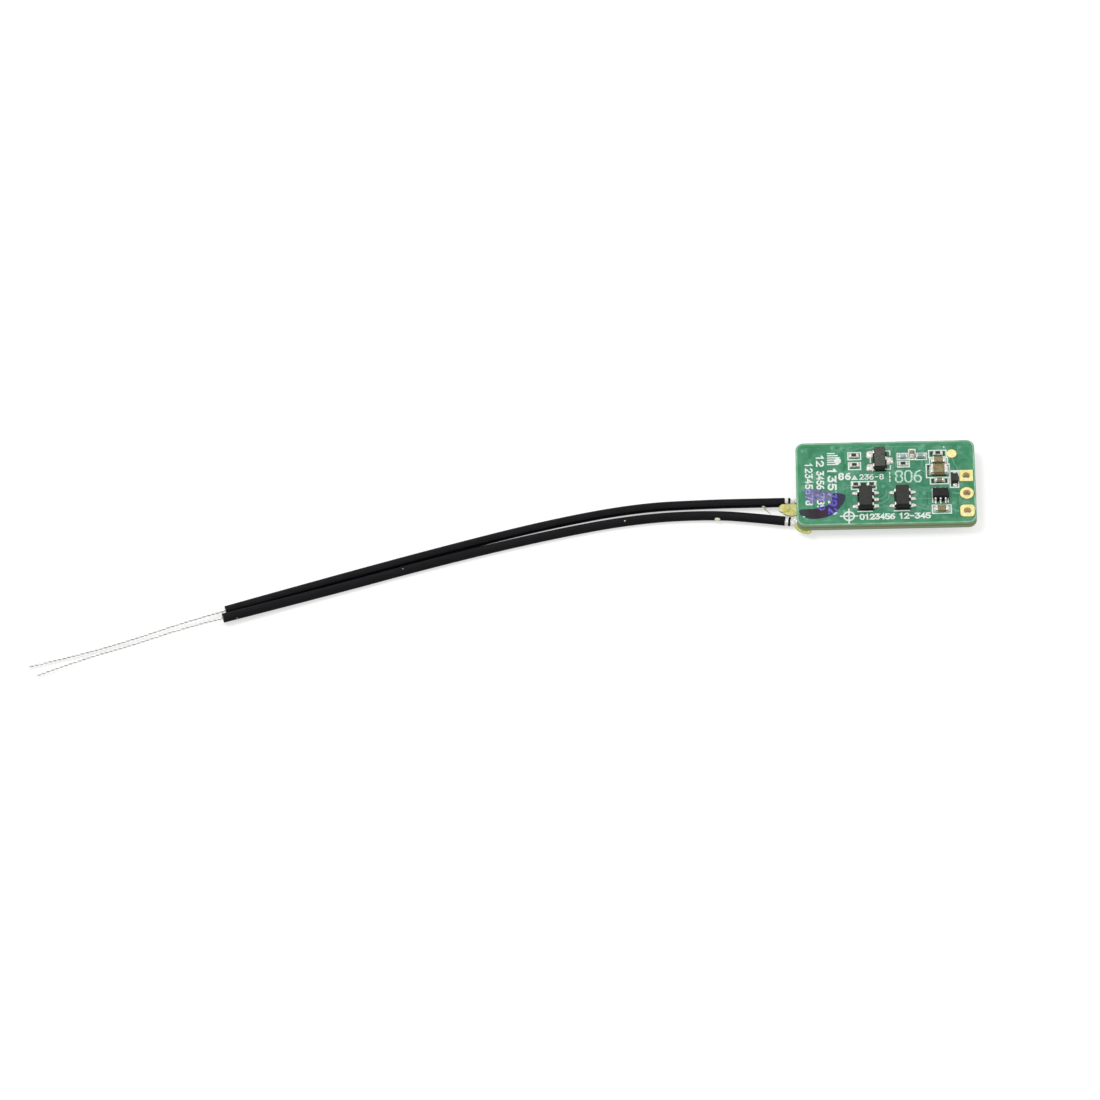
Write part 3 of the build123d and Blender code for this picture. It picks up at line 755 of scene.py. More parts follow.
glueMesh = bmesh.new()
for seed, bead in enumerate(glueBeads.values()):
    addLump(glueMesh, underSeat(*bead["middle"], -bead["turn"]), *bead["half"], bead["drop"], seed * 3.1,
            dome=bead["dome"])
gluePiece = makePiece("cableGlue", glueMesh, [glue], replaces=["cable_glue"], sharpAngle=80)
cordPieces["rearAntenna"].append(gluePiece)
for number, (x, y, z, size, stretch, antenna) in enumerate(crumbs, 1):
    crumbMesh = bmesh.new()
    bmesh.ops.create_icosphere(crumbMesh, subdivisions=2, radius=size)
    for vertex in crumbMesh.verts:
        lift = noise.noise(vertex.co * crumbShape["fine"] + Vector((number, 0, 0)))
        vertex.co *= 1 + crumbShape["rough"] * lift
        vertex.co = Vector((x + vertex.co.x * stretch, y + vertex.co.y * crumbShape["flat"],
                            z + vertex.co.z * crumbShape["flat"]))
    if number == 1:
        addTube(crumbMesh, crumbThread["route"], crumbThread["radius"])
        addTube(crumbMesh, crumbThread["route"][:2], crumbThread["root"])
    cordPieces[antenna].append(makePiece("glueCrumb" + str(number), crumbMesh, [crumb]))

# Board print, tracks and vias

silkWidth = 0.15
silkLow, silkHigh = 0.004, 0.022
frameClimb, lineClimb, digitClimb = 0.0021, 0.0013, 0.004  # so that strokes which cross differ in height
# Height and corner of the dark patches of painted shade
shadeLow, shadeHigh, shadeCorner = 0.0005, 0.006, 0.12
topBoxes = [  # white frames round the chips: left, front, right, back
    (-4.45, 3.45, -2.93, 4.48),
    (-4.41, 2.0, -2.97, 3.0),
    (1.47, 3.31, 2.8, 4.22),
    (2.87, 3.29, 3.63, 4.78),
    (3.69, 3.26, 4.97, 4.2),
    (1.51, 2.24, 2.88, 3.06),
    (-4.12, -0.88, -1.16, 0.22),
    (5.25, 3.55, 7.35, 4.56),
    (5.35, 2.5, 7.49, 3.5),
    (4.9, 0.6, 7.66, 2.55),
    (5.35, -0.33, 7.49, 0.55),
    (5.47, -4.6, 7.73, -3.4),
    (7.7, -0.88, 8.72, 1.53),
]
shadePatches = [  # painted shade inside the frames: left, front, right, back
    (-4.2, 3.65, -3.2, 4.3),
    (-4.2, 2.2, -3.2, 2.82),
    (1.65, 3.42, 2.62, 3.85),
    (3.85, 3.42, 4.8, 3.8),
    (1.65, 2.38, 2.74, 2.92),
    (-3.95, -0.7, -1.35, 0.05),
    (5.45, 3.75, 7.15, 4.4),
    (5.5, 2.65, 7.35, 3.3),
    (5.05, 0.8, 7.5, 2.4),
    (5.5, -0.2, 7.35, 0.42),
    (5.65, -4.42, 7.55, -3.6),
    (7.85, -0.7, 8.58, 1.35),
]
topLines = [
    [(0.0, 4.62), (0.6, 4.62), (0.6, 4.0)],
    [(0.6, 2.52), (0.6, 1.95), (-0.05, 1.95)],
    [(-1.77, 3.0), (-1.77, 3.62)],
    [(-3.4, -4.1), (-1.7, -4.1)],
    [(0.93, -4.1), (2.72, -4.1)],
    [(5.55, -1.1), (5.55, -2.97)],
    [(7.39, -1.1), (7.39, -2.97)],
    [(7.75, 1.42), (8.67, 1.42)],
    [(0.5, 0.18), (0.5, 0.42)],
    [(0.5, 0.7), (0.5, 0.95)],
    [(0.5, 1.24), (0.5, 1.5)],
]
triangle = [(-4.12, 0.5), (-3.33, 0.5), (-3.72, 1.2)]
printDot = (7.09, 5.05, 0.11)
digitStrokes = {  # plain digits on a cell 0.6 wide and 1 high
    "0": [(0, 0.2), (0, 0.8), (0.15, 1), (0.45, 1), (0.6, 0.8), (0.6, 0.2), (0.45, 0), (0.15, 0), (0, 0.2)],
    "1": [(0.1, 0.8), (0.32, 1), (0.32, 0)],
    "2": [(0, 0.8), (0.15, 1), (0.45, 1), (0.6, 0.8), (0.6, 0.62), (0, 0), (0.6, 0)],
    "3": [(0, 1), (0.6, 1), (0.28, 0.6), (0.45, 0.6), (0.6, 0.42), (0.6, 0.18), (0.45, 0), (0.15, 0), (0, 0.16)],
    "4": [(0.45, 0), (0.45, 1), (0, 0.32), (0.62, 0.32)],
    "5": [(0.58, 1), (0.06, 1), (0, 0.58), (0.4, 0.58), (0.6, 0.4), (0.6, 0.18), (0.45, 0), (0.15, 0), (0, 0.14)],
    "6": [(0.5, 1), (0.2, 0.9), (0, 0.5), (0, 0.2), (0.15, 0), (0.45, 0), (0.6, 0.2), (0.6, 0.38),
          (0.45, 0.55), (0.15, 0.55), (0, 0.4)],
    "7": [(0, 1), (0.6, 1), (0.2, 0)],
    "8": [(0.15, 0.54), (0, 0.7), (0, 0.85), (0.15, 1), (0.45, 1), (0.6, 0.85), (0.6, 0.7), (0.45, 0.54),
          (0.6, 0.38), (0.6, 0.16), (0.45, 0), (0.15, 0), (0, 0.16), (0, 0.38), (0.15, 0.54)],
    "9": [(0.1, 0), (0.4, 0.1), (0.6, 0.5), (0.6, 0.8), (0.45, 1), (0.15, 1), (0, 0.8), (0, 0.62),
          (0.15, 0.45), (0.45, 0.45), (0.6, 0.6)],
    "-": [(0.08, 0.5), (0.52, 0.5)],
}
digitRows = [  # digits, first one's lower left corner, height, width, pitch, turn, line width
    ("236-8", (-3.08, 0.56), 0.66, 0.4, 0.6, 0, 0.14),
    ("0123456", (-3.15, -5.22), 0.68, 0.43, 0.605, 0, 0.19),
    ("12-345", (1.52, -5.2), 0.68, 0.46, 0.64, 0, 0.19),
    ("12345678", (-9.58, 3.02), 0.76, 0.5, 0.785, -90, 0.18),
    ("12", (-8.22, 4.15), 0.76, 0.68, 0.87, -90, 0.2),
    ("3456", (-8.22, 1.78), 0.76, 0.44, 0.68, -90, 0.18),
    ("789", (-8.2, -1.42), 0.76, 0.62, 0.86, -90, 0.19),
    ("135792", (-6.85, 2.22), 0.86, 0.72, 1.17, -90, 0.24),
    ("86", (-5.56, 0.62), 0.82, 0.46, 0.82, 0, 0.23),
    ("806", (1.22, 0.06), 1.6, 0.78, 1.12, 0, 0.2),
]
paleRow = "806"  # printed thin, so that the lacquer shows through
# Plain marks where the real print has words: level bars and a target
levelBars = {"left": -6.88, "line": 0.17, "dot": (0.42, -5.72, 3.28),  # the ends are y and right end
             "ends": [(4.42, -6.1), (4.1, -5.75), (3.78, -5.5), (3.46, -5.4), (3.14, -5.45), (2.82, -5.7)]}
target = {"middle": (-4.5, -4.74), "radius": 0.62, "cross": 1.0, "line": 0.19}
# A painted glint: a short stroke of white print at the marker's edge, where light glints
paintedGlint = {"line": [(-9.98, -4.68), (-9.8, -4.74)], "width": 0.12, "low": 0.01}
onTop = Matrix.Translation((0, 0, boardTop))
mirror = Matrix.Translation((0, 0, boardUnder)) @ Matrix.Scale(-1, 4, Vector((0, 0, 1)))


def rowStrokes(digits, corner, height, width, pitch, turn):
    spin = Matrix.Rotation(math.radians(turn), 2)
    strokes = []
    for place, digit in enumerate(digits):
        start = Vector(corner) + spin @ Vector((place * pitch, 0))
        strokes.append([start + spin @ Vector((x / 0.6 * width, y * height)) for x, y in digitStrokes[digit]])
    return strokes


def addDigits(mesh, strokes, line, seat):
    for number, stroke in enumerate(strokes):
        joined = (stroke[0] - stroke[-1]).length < 1e-6
        addRibbon(mesh, stroke[:-1] if joined else stroke, line, silkLow, silkHigh + digitClimb * (number % 2),
                  closed=joined, seat=seat)


def addFrames(mesh, boxes, seat):
    for number, (left, front, right, back) in enumerate(boxes):
        addRibbon(mesh, [(left, front), (right, front), (right, back), (left, back)], silkWidth,
                  silkLow, silkHigh + frameClimb * (number % 3), closed=True, seat=seat)


def addPatches(mesh, boxes, seat, inset=0.0):
    for left, front, right, back in boxes:
        addPlate(mesh, blockRing((right - left) / 2 - inset, (back - front) / 2 - inset, shadeCorner, 0,
                                 (left + right) / 2, (front + back) / 2), shadeLow, shadeHigh, seat)


silk, largeDigits, frameShade = bmesh.new(), bmesh.new(), bmesh.new()
addFrames(silk, topBoxes, onTop)
for number, line in enumerate(topLines):
    addRibbon(silk, line, silkWidth, silkLow, silkHigh + lineClimb * (number % 4), seat=onTop)
for digits, corner, height, width, pitch, turn, line in digitRows:
    addDigits(largeDigits if digits == paleRow else silk, rowStrokes(digits, corner, height, width, pitch, turn),
              line, onTop)
addPlate(silk, triangle, silkLow, silkHigh, onTop)
addPlate(silk, roundRing(printDot[2], 0, *printDot[:2]), silkLow, silkHigh, onTop)
for y, end in levelBars["ends"]:
    addRibbon(silk, [(levelBars["left"], y), (end, y)], levelBars["line"], silkLow, silkHigh, seat=onTop)
radius, x, y = levelBars["dot"]
addPlate(silk, roundRing(radius, 0, x, y, 20), silkLow, silkHigh + 0.003, onTop)
x, y = target["middle"]
addRibbon(silk, roundRing(target["radius"], 0, x, y, 24), target["line"], silkLow, silkHigh, closed=True, seat=onTop)
for armX, armY in ((target["cross"], 0), (0, target["cross"])):
    addRibbon(silk, [(x - armX, y - armY), (x + armX, y + armY)], target["line"], silkLow, silkHigh + 0.002,
              seat=onTop)
addRibbon(silk, paintedGlint["line"], paintedGlint["width"], paintedGlint["low"], silkHigh + digitClimb, seat=onTop)
makeFlat("boardPrint", silk, printInk)
makeFlat("largeDigits", largeDigits, paleInk)
# Painted shade inside the frames on the upper face
addPatches(frameShade, shadePatches, onTop)
makeFlat("paintedShadeInFrames", frameShade, paintedShade)
print("print laid")

trackLow, trackHigh = 0.001, 0.012
gapLow, gapHigh = 0.0005, 0.005

topTracks = [  # middle line and width of each raised track
    ([(-1.2, -3.1), (-0.4, -2.9), (0.3, -2.3), (0.35, -1.7)], 0.16),
    ([(-0.8, -2.4), (-0.35, -2.15), (0.05, -1.75), (0.05, -1.1)], 0.14),
    ([(-0.7, -3.6), (-0.1, -3.35), (0.6, -3.4)], 0.14),
    ([(3.55, -2.5), (4.1, -2.4), (5.3, -2.4)], 0.16),
    ([(-10.2, -5.55), (-6.0, -5.62), (8.2, -5.62), (9.6, -5.3)], 0.14),
    ([(-2.3, 4.95), (-1.0, 5.25), (3.2, 5.25), (4.6, 4.95)], 0.16),
    ([(-6.4, 4.9), (-5.2, 4.9), (-4.8, 4.4), (-4.8, 2.9)], 0.14),
    ([(3.7, -3.5), (4.5, -3.9), (5.2, -4.0)], 0.2),
    ([(7.9, -1.6), (8.4, -1.74), (9.0, -1.74)], 0.24),
    ([(7.9, -4.0), (8.3, -4.28), (8.9, -4.28)], 0.24),
    ([(8.0, 3.5), (8.3, 2.6), (8.8, 1.5)], 0.16),
    ([(4.95, 1.9), (4.4, 2.3), (4.4, 3.0)], 0.14),
    ([(-6.6, -1.4), (-5.2, -0.9), (-4.6, -0.6)], 0.14),
    ([(3.9, -0.6), (4.5, -0.9), (5.2, -0.9)], 0.14),
]
topGaps = [
    ([(-10.1, 5.35), (-3.0, 5.45), (6.2, 5.4), (9.2, 5.3)], 0.1),
    ([(-5.0, 5.0), (-4.9, 2.3), (-5.1, 1.8)], 0.12),
    ([(1.1, 4.4), (1.1, 2.0), (3.3, 1.95), (4.5, 1.4), (4.5, -0.4)], 0.1),
    ([(-4.9, -0.4), (-4.9, -3.8), (-3.9, -4.4), (4.3, -4.35), (4.9, -3.2), (4.9, -1.5)], 0.1),
    ([(-0.2, -0.9), (-0.2, -1.6), (-0.6, -1.9), (-0.6, -3.9)], 0.1),
    ([(8.55, 5.3), (8.6, 3.4), (8.35, 2.3), (8.6, -2.9), (8.4, -5.4)], 0.1),
]
topVias = [(-5.2, 5.2), (-2.2, 1.0), (0.3, 5.3), (4.6, 5.35), (8.9, 5.0), (4.55, -1.6), (4.6, -4.6), (-0.3, -0.5),
           (-5.0, -4.0), (8.05, -3.1), (-6.3, 5.3), (5.05, 2.95), (-9.9, 4.9), (9.9, -5.3), (-0.1, -4.6), (4.2, 4.9)]
underTracks = [
    ([(-8.6, 1.1), (-6.2, 0.9), (-4.8, -0.6)], 0.3),
    ([(-3.4, -2.35), (-2.8, -2.35), (-2.2, -2.1)], 0.2),
    ([(1.9, -2.6), (2.6, -2.6), (2.9, -2.2)], 0.14),
    ([(1.9, -3.1), (3.4, -3.1), (3.9, -2.6)], 0.14),
    ([(0.4, -0.5), (0.6, 0.2), (2.2, 0.3)], 0.14),
    ([(-0.2, -0.5), (-0.2, 1.3)], 0.14),
    ([(-3.0, 4.7), (-1.6, 4.9), (1.6, 4.9), (2.6, 4.2)], 0.14),
    ([(3.1, 3.8), (3.9, 3.3), (4.2, 2.7)], 0.16),
    ([(6.1, 4.3), (5.4, 3.6), (5.4, 2.7)], 0.3),
    ([(7.4, 1.2), (8.3, 0.9), (8.8, 0.8)], 0.24),
    ([(7.4, -1.2), (8.2, -1.7), (8.8, -1.74)], 0.24),
    ([(8.2, -4.2), (8.9, -4.25)], 0.5),
    ([(-5.6, 4.1), (-5.1, 4.4), (-4.8, 4.7)], 0.16),
    ([(-5.5, 2.6), (-5.1, 2.9), (-4.8, 3.2)], 0.16),
    ([(-9.9, 5.4), (-6.0, 5.5), (5.6, 5.45)], 0.14),
    ([(-6.9, -5.4), (2.0, -5.45), (5.8, -5.2)], 0.14),
]
underVias = [(-3.4, -4.9), (-2.9, -0.4), (1.2, 1.2), (2.1, 1.6), (3.6, -3.3), (5.0, 4.9), (8.6, 2.4), (8.3, -2.9),
             (-5.2, 0.4), (-6.6, 0.2), (-1.9, 5.2), (0.9, 5.35), (9.9, 5.2), (9.8, -5.4), (-9.9, -5.5), (-2.6, 1.7)]
viaRings = [(0.27, 0.001), (0.25, 0.014), (0.13, 0.014), (0.1, 0.004)]  # a tented via: a low ring round a dimple

tracks, gaps = bmesh.new(), bmesh.new()
for seat, lines, vias in ((onTop, topTracks, topVias), (mirror, underTracks, underVias)):
    for line, width in lines:
        addRibbon(tracks, line, width, trackLow, trackHigh, seat=seat)
    for x, y in vias:
        addRings(tracks, [roundRing(radius, z, x, y, 14) for radius, z in viaRings], seat)
makeFlat("copperTracks", tracks, maskOverCopper)
for line, width in topGaps:
    addRibbon(gaps, line, width, gapLow, gapHigh, seat=onTop)
makeFlat("copperGaps", gaps, maskInGap)
underBoxes = [  # white frames on the lower face: left, front, right, back
    (-2.15, 1.18, 1.75, 4.22),
    (-3.72, -0.5, -2.48, 1.22),
    (1.72, 3.28, 3.48, 4.32),
    (2.02, -4.52, 3.78, -3.48),
    (5.7, 3.3, 8.6, 5.1),
    (5.7, -5.1, 8.6, -3.3),
    (-5.1, 2.58, -2.7, 3.82),
    (-5.1, 4.08, -2.7, 5.32),
]
underTicks = [  # packages with a mark round each corner
    (2.4, -2.4, 7.4, 2.6),
    (-2.6, -4.6, 1.4, -0.6),
    (-6.5, -4.1, -3.5, -1.1),
]
underLines = [
    [(-8.9, 1.84), (-5.7, 1.84)],
    [(-8.9, 4.96), (-5.7, 4.96)],
    [(8.25, 0.4), (8.25, 1.2)],
]
underDots = [(1.74, 2.92), (-2.98, -0.2), (-6.98, -0.76), (-5.32, 2.62), (-5.32, 4.12), (8.5, 1.62)]
underRows = [  # digits, first one's lower left corner as read from below, height, width, pitch, turn, line width
    ("0123", (-6.75, 1.28), 0.68, 0.42, 0.62, 0, 0.15),
    ("12-345", (-2.0, 5.36), 0.62, 0.4, 0.6, 0, 0.14),
    ("6789", (2.5, 5.36), 0.62, 0.4, 0.6, 0, 0.14),
    ("8642", (-6.4, -4.72), 0.6, 0.38, 0.58, 0, 0.14),
    ("1", (-7.62, -1.5), 0.8, 0.5, 1.0, 0, 0.17),
    ("2", (-7.62, -4.25), 0.8, 0.5, 1.0, 0, 0.17),
]
cornerGap, cornerArm = 0.34, 0.5
underDotRadius = 0.13
underShadeInset = 0.2
edgeBands = [  # inset and width of the line round the board's edge, and its height; the outer line is a painted highlight
    ("lacquerRimHighlight", maskEdgeHighlight, 0.13, 0.2, 0.009),
    ("lacquerBand", maskBesideEdge, 0.43, 0.36, 0.004),
]
boardCorner = 1.02

underPrint, underFlux = bmesh.new(), bmesh.new()
addFrames(underPrint, underBoxes, mirror)
for left, front, right, back in underTicks:
    for edgeX, edgeY, inX, inY in ((left, front, 1, 1), (right, front, -1, 1), (right, back, -1, -1),
                                   (left, back, 1, -1)):
        x, y = edgeX - inX * cornerGap, edgeY - inY * cornerGap
        addRibbon(underPrint, [(x + inX * cornerArm, y), (x, y), (x, y + inY * cornerArm)], silkWidth,
                  silkLow, silkHigh, seat=mirror)
for line in underLines:
    addRibbon(underPrint, line, silkWidth, silkLow, silkHigh, seat=mirror)
for x, y in underDots:
    addPlate(underPrint, roundRing(underDotRadius, 0, x, y), silkLow, silkHigh, mirror)
for digits, corner, height, width, pitch, turn, line in underRows:
    addDigits(underPrint, rowStrokes(digits, (0, 0), height, width, pitch, turn), line, underSeat(*corner))
makeFlat("underPrint", underPrint, printInk)
# Painted shade inside the frames on the lower face
addPatches(underFlux, underBoxes[1:], mirror, underShadeInset)
makeFlat("underFlux", underFlux, paintedShade)
for name, material, inset, width, height in edgeBands:
    rim = bmesh.new()
    rimLine = blockRing(boardHigh.x - inset, boardHigh.y - inset, boardCorner - inset, 0, steps=6)
    for seat in (onTop, mirror):
        addRibbon(rim, rimLine, width, 0.0002, height, closed=True, seat=seat)
    makeFlat(name, rim, material)
print("tracks laid")

# Violet marker stroke over the print at the left, with a thin streaky tail
inkOutline = [(-6.4, -1.3), (-5.65, -1.38), (-4.95, -1.55), (-4.84, -1.94), (-5.04, -2.75), (-5.43, -3.3),
              (-5.91, -3.97), (-6.38, -4.42), (-7.01, -4.76), (-7.82, -4.99), (-8.87, -5.05), (-9.49, -4.95),
              (-10.15, -4.65), (-10.4, -4.22), (-10.45, -3.6), (-9.34, -3.61), (-8.5, -3.59), (-7.91, -3.39),
              (-7.32, -3.25), (-6.9, -3.08), (-6.5, -2.61), (-6.45, -2.0)]
tailOutline = [(-9.75, -0.8), (-9.21, -0.7), (-8.53, -0.72), (-7.7, -0.92), (-7.11, -1.1), (-6.3, -1.3),
               (-6.2, -2.0), (-6.4, -2.7), (-7.14, -2.62), (-8.31, -2.52), (-8.6, -2.75), (-8.95, -2.8),
               (-9.3, -2.5), (-9.72, -1.77)]
markerLow = 0.01
overPrint = {"wider": 1.04, "climb": 0.006, "step": 0.0004}  # the ink over the print, beside the print's own line


def smoothLoop(points, rounds=2):  # corner cutting on a closed outline
    for _ in range(rounds):
        cut = []
        for here, after in zip(points, points[1:] + points[:1]):
            here, after = Vector(here), Vector(after)
            cut += [here.lerp(after, 0.25), here.lerp(after, 0.75)]
        points = cut
    return [tuple(point) for point in points]


def insideLoop(point, loop):
    inside = False
    for (x1, y1), (x2, y2) in zip(loop, loop[1:] + loop[:1]):
        if (y1 > point[1]) != (y2 > point[1]) and point[0] < (x2 - x1) * (point[1] - y1) / (y2 - y1) + x1:
            inside = not inside
    return inside


def addCovered(mesh, stroke, covers, line):  # the runs of a printed stroke that the ink covers
    fine = [here.lerp(after, k / 8) for here, after in zip(stroke, stroke[1:]) for k in range(8)] + [stroke[-1]]
    run = []
    for number, point in enumerate(fine + [None]):
        if point is not None and covers(point):
            run.append(point)
            continue
        if len(run) > 2:
            addRibbon(mesh, run, line * overPrint["wider"], silkLow,
                      silkHigh + overPrint["climb"] + overPrint["step"] * (number % 7), seat=onTop)
        run = []


strokeLoop, tailLoop = smoothLoop(inkOutline), smoothLoop(tailOutline)
for name, loop, material, height in (("markerStroke", strokeLoop, markerInk, 0.016),
                                     ("markerTail", tailLoop, markerTail, 0.014)):
    ink = bmesh.new()
    addPlate(ink, loop, markerLow, height, onTop)
    makeFlat(name, ink, material)
tinted, paler = bmesh.new(), bmesh.new()
for digits, corner, height, width, pitch, turn, line in digitRows:
    for stroke in rowStrokes(digits, corner, height, width, pitch, turn):
        addCovered(tinted, stroke, lambda point: insideLoop(point, strokeLoop), line)
        addCovered(paler, stroke,
                   lambda point: insideLoop(point, tailLoop) and not insideLoop(point, strokeLoop), line)
makeFlat("markerOverPrint", tinted, markerOnPrint)
makeFlat("tailOverPrint", paler, tailOnPrint)
print("marker laid")


# Plated holes keep their solids; each gets the lacquer's raised edge round its pad
platedHoles = {"plated_hole_1": 0.08, "plated_hole_2": 1.0, "plated_hole_3": 0.45}  # corner of each pad
padEdge = {"gap": 0.09, "testPadGap": 0.08, "width": 0.1, "low": 0.001, "high": 0.016, "testPadHigh": 0.014}
padTipOutline = [(7.22, 4.16), (7.52, 3.76), (7.95, 3.6), (7.95, 4.5), (7.6, 4.42)]
maskEdge, padTip = bmesh.new(), bmesh.new()
for node, corner in platedHoles.items():
    low, high, middle, half = nodeBox(node)
    gap = padEdge["gap"]
    ring = blockRing(half.x + gap, half.y + gap, corner + gap, 0, middle.x, middle.y, 6)
    ring = [point for k, point in enumerate(ring) if (point - ring[k - 1]).length > 1e-4]
    for seat in (onTop, mirror):
        addRibbon(maskEdge, ring, padEdge["width"], padEdge["low"], padEdge["high"], closed=True, seat=seat)
    dressSolid(node, gold)
low, high, middle, half = nodeBox("test_pad")
addRibbon(maskEdge, roundRing(high.x - middle.x + padEdge["testPadGap"], 0, middle.x, middle.y, 28),
          padEdge["width"], padEdge["low"], padEdge["testPadHigh"], closed=True, seat=onTop)
makeFlat("lacquerEdges", maskEdge, oliveRimAndShade)
addPlate(padTip, padTipOutline, padEdge["low"], 0.046, onTop)
makePiece("testPadTip", padTip, [gold], sharpAngle=60)
dressSolid("test_pad", gold)
dressSolid("printed_circuit_board", solderMask)
print("pads finished")


# Moulded packages on bent leads: bodies with a parting line, a polished dimple and round edges
gullWings = {
    "transistor": {
        "material": paleEpoxy, "turn": 0, "draft": 0.05, "edge": 0.06, "dimple": None,
        "right": (0,), "left": (-1, 1), "pitch": 0.95, "width": 0.42, "thickness": 0.14, "bend": 0.11,
        "level": 0.57, "root": 0.34, "shoulder": 0.815, "foot": 0.45, "tip": 1.25,
        "joint": (0.58, 0.54, 0.3), "point": 0.1,
    },
    "regulator_1": {
        "material": epoxy, "turn": 0, "draft": 0.06, "edge": 0.07, "dimple": (-0.42, -0.98),
        "right": (-1, 0, 1), "left": (-1, 1), "pitch": 0.95, "width": 0.4, "thickness": 0.15, "bend": 0.12,
        "level": 0.65, "root": 0.4, "shoulder": 0.95, "foot": 0.45, "tip": 1.4,
        "joint": (0.47, 0.29, 0.24), "point": 0.55,
    },
    "logic_gate": {
        "material": darkEpoxy, "turn": 90, "draft": 0.05, "edge": 0.05, "dimple": (-0.3, 0.6),
        "right": (-1, 0, 1), "left": (-1, 0, 1), "pitch": 0.6, "width": 0.22, "thickness": 0.12, "bend": 0.1,
        "level": 0.505, "root": 0.31, "shoulder": 0.745, "foot": 0.3, "tip": 1.1,
        "joint": (0.3, 0.19, 0.17), "point": 0.6,
    },
}
gullWings["regulator_2"] = gullWings["regulator_1"]
moulding = {"corner": 0.06, "seam": 0.012, "foot": 0.03, "footInset": 0.02,
            "dimple": [(0.17, 0.0), (0.15, 0.025), (0.12, 0.035)]}  # radius and depth
packageShade = {"x": 0.2, "y": 0.1, "corner": 0.2, "high": 0.005}  # painted shade round a package


def addLead(mesh, seat, spec, side, along):
    # A stamped strip: out of the body, down beside it and out again along the pad, with round bends
    flat = spec["thickness"] / 2
    corners = [Vector(spot) for spot in ((spec["root"], spec["level"]), (spec["shoulder"], spec["level"]),
                                         (spec["tip"] - spec["foot"], flat), (spec["tip"], flat))]
    line = [corners[0]]
    for before, corner, after in zip(corners, corners[1:], corners[2:]):
        back, onward = (before - corner).normalized(), (after - corner).normalized()
        for step in range(6):
            share = step / 5
            line.append(corner + spec["bend"] * (back * (1 - share) ** 2 + onward * share ** 2))
    line.append(corners[-1])
    rings = []
    for k, here in enumerate(line):
        way = (line[min(k + 1, len(line) - 1)] - line[max(k - 1, 0)]).normalized()
        across = Vector((-way.y, way.x))
        ring = []
        for point in blockRing(spec["width"] / 2, flat, 0.03, 0, steps=2):
            spot = here + across * point.y
            ring.append(Vector((side * spot.x, along + point.x, spot.y)))
        rings.append(ring)
    addRings(mesh, rings, seat)


def packageRings(halfX, halfY, low, high, draft, edge, dimple=None):
    # Lower half, a thin parting line, upper half with round edges, then the dimple's recess
    corner, seam = moulding["corner"], moulding["seam"]
    foot = draft + moulding["footInset"]
    middle = (low + high) / 2
    rings = [blockRing(halfX - foot, halfY - foot, corner, low),
             blockRing(halfX - draft, halfY - draft, corner, low + moulding["foot"]),
             blockRing(halfX, halfY, corner, middle - seam),
             blockRing(halfX + seam, halfY + seam, corner, middle - seam / 2),
             blockRing(halfX + seam, halfY + seam, corner, middle + seam / 2),
             blockRing(halfX, halfY, corner, middle + seam)]
    rings += topEdge(halfX, halfY, high, corner, edge, draft)
    if dimple:
        rings += [roundRing(radius, high - depth, *dimple) for radius, depth in moulding["dimple"]]
    return rings


def addSolder(mesh, seat, x, y, halfX, halfY, height, coreX, coreY, swell=0.75, seed=0.0, slot=0, point=0.0):
    # A solder joint: from the pad's outline in and up to the metal that it wets. It may narrow
    # towards the side that x is on
    rings = []
    for step in range(7):
        share = step / 6
        rise = (1 - (1 - share) ** 2) ** swell
        ring = blockRing(halfX + (coreX - halfX) * share, halfY + (coreY - halfY) * share,
                         0.55 * min(halfX, halfY) * (1 - share) + 0.5 * min(coreX, coreY) * share,
                         0.003 + height * rise, x, y)
        for place in ring:
            lift = noise.noise(Vector((place.x * 2.3, place.y * 2.3, seed)))
            place.z *= 1 + 0.18 * lift * (1 - share)
            outwards = max(0.0, math.copysign(1, x) * (place.x - x) / halfX)
            place.y = y + (place.y - y) * (1 - point * outwards)
        rings.append(ring)
    addRings(mesh, rings, seat, slot)


shade = bmesh.new()
for node, spec in gullWings.items():
    low, high, middle, half = nodeBox(node + "_body")
    if spec["turn"]:
        half.x, half.y = half.y, half.x
    seat = topSeat(middle.x, middle.y, spec["turn"])
    body, leads, joints = bmesh.new(), bmesh.new(), bmesh.new()
    addRings(body, packageRings(half.x, half.y, low.z - boardTop, high.z - boardTop, spec["draft"],
                                spec["edge"], spec["dimple"]), seat)
    # Painted shade round the package body
    addPlate(shade, blockRing(half.x + packageShade["x"], half.y + packageShade["y"], packageShade["corner"], 0),
             shadeLow, packageShade["high"], seat)
    halfX, halfY, height = spec["joint"]
    for side, places in ((1, spec["right"]), (-1, spec["left"])):
        for place in places:
            along = place * spec["pitch"]
            addLead(leads, seat, spec, side, along)
            addSolder(joints, seat, side * (spec["tip"] - 0.15), along, halfX, halfY, height, halfX * 0.45,
                      spec["width"] * 0.45, swell=0.9, seed=place + side + middle.x, point=spec["point"])
    name = camelName(node)
    makePiece(name + "Body", body, [spec["material"]], replaces=[node + "_body"], sharpAngle=50)
    makePiece(name + "Leads", leads, [tin], replaces=[node + "_leads"], sharpAngle=60)
    makePiece(name + "Solder", joints, [solder], sharpAngle=75)
makeFlat("paintedShadeRoundPackages", shade, paintedShade)
print("packages moulded")

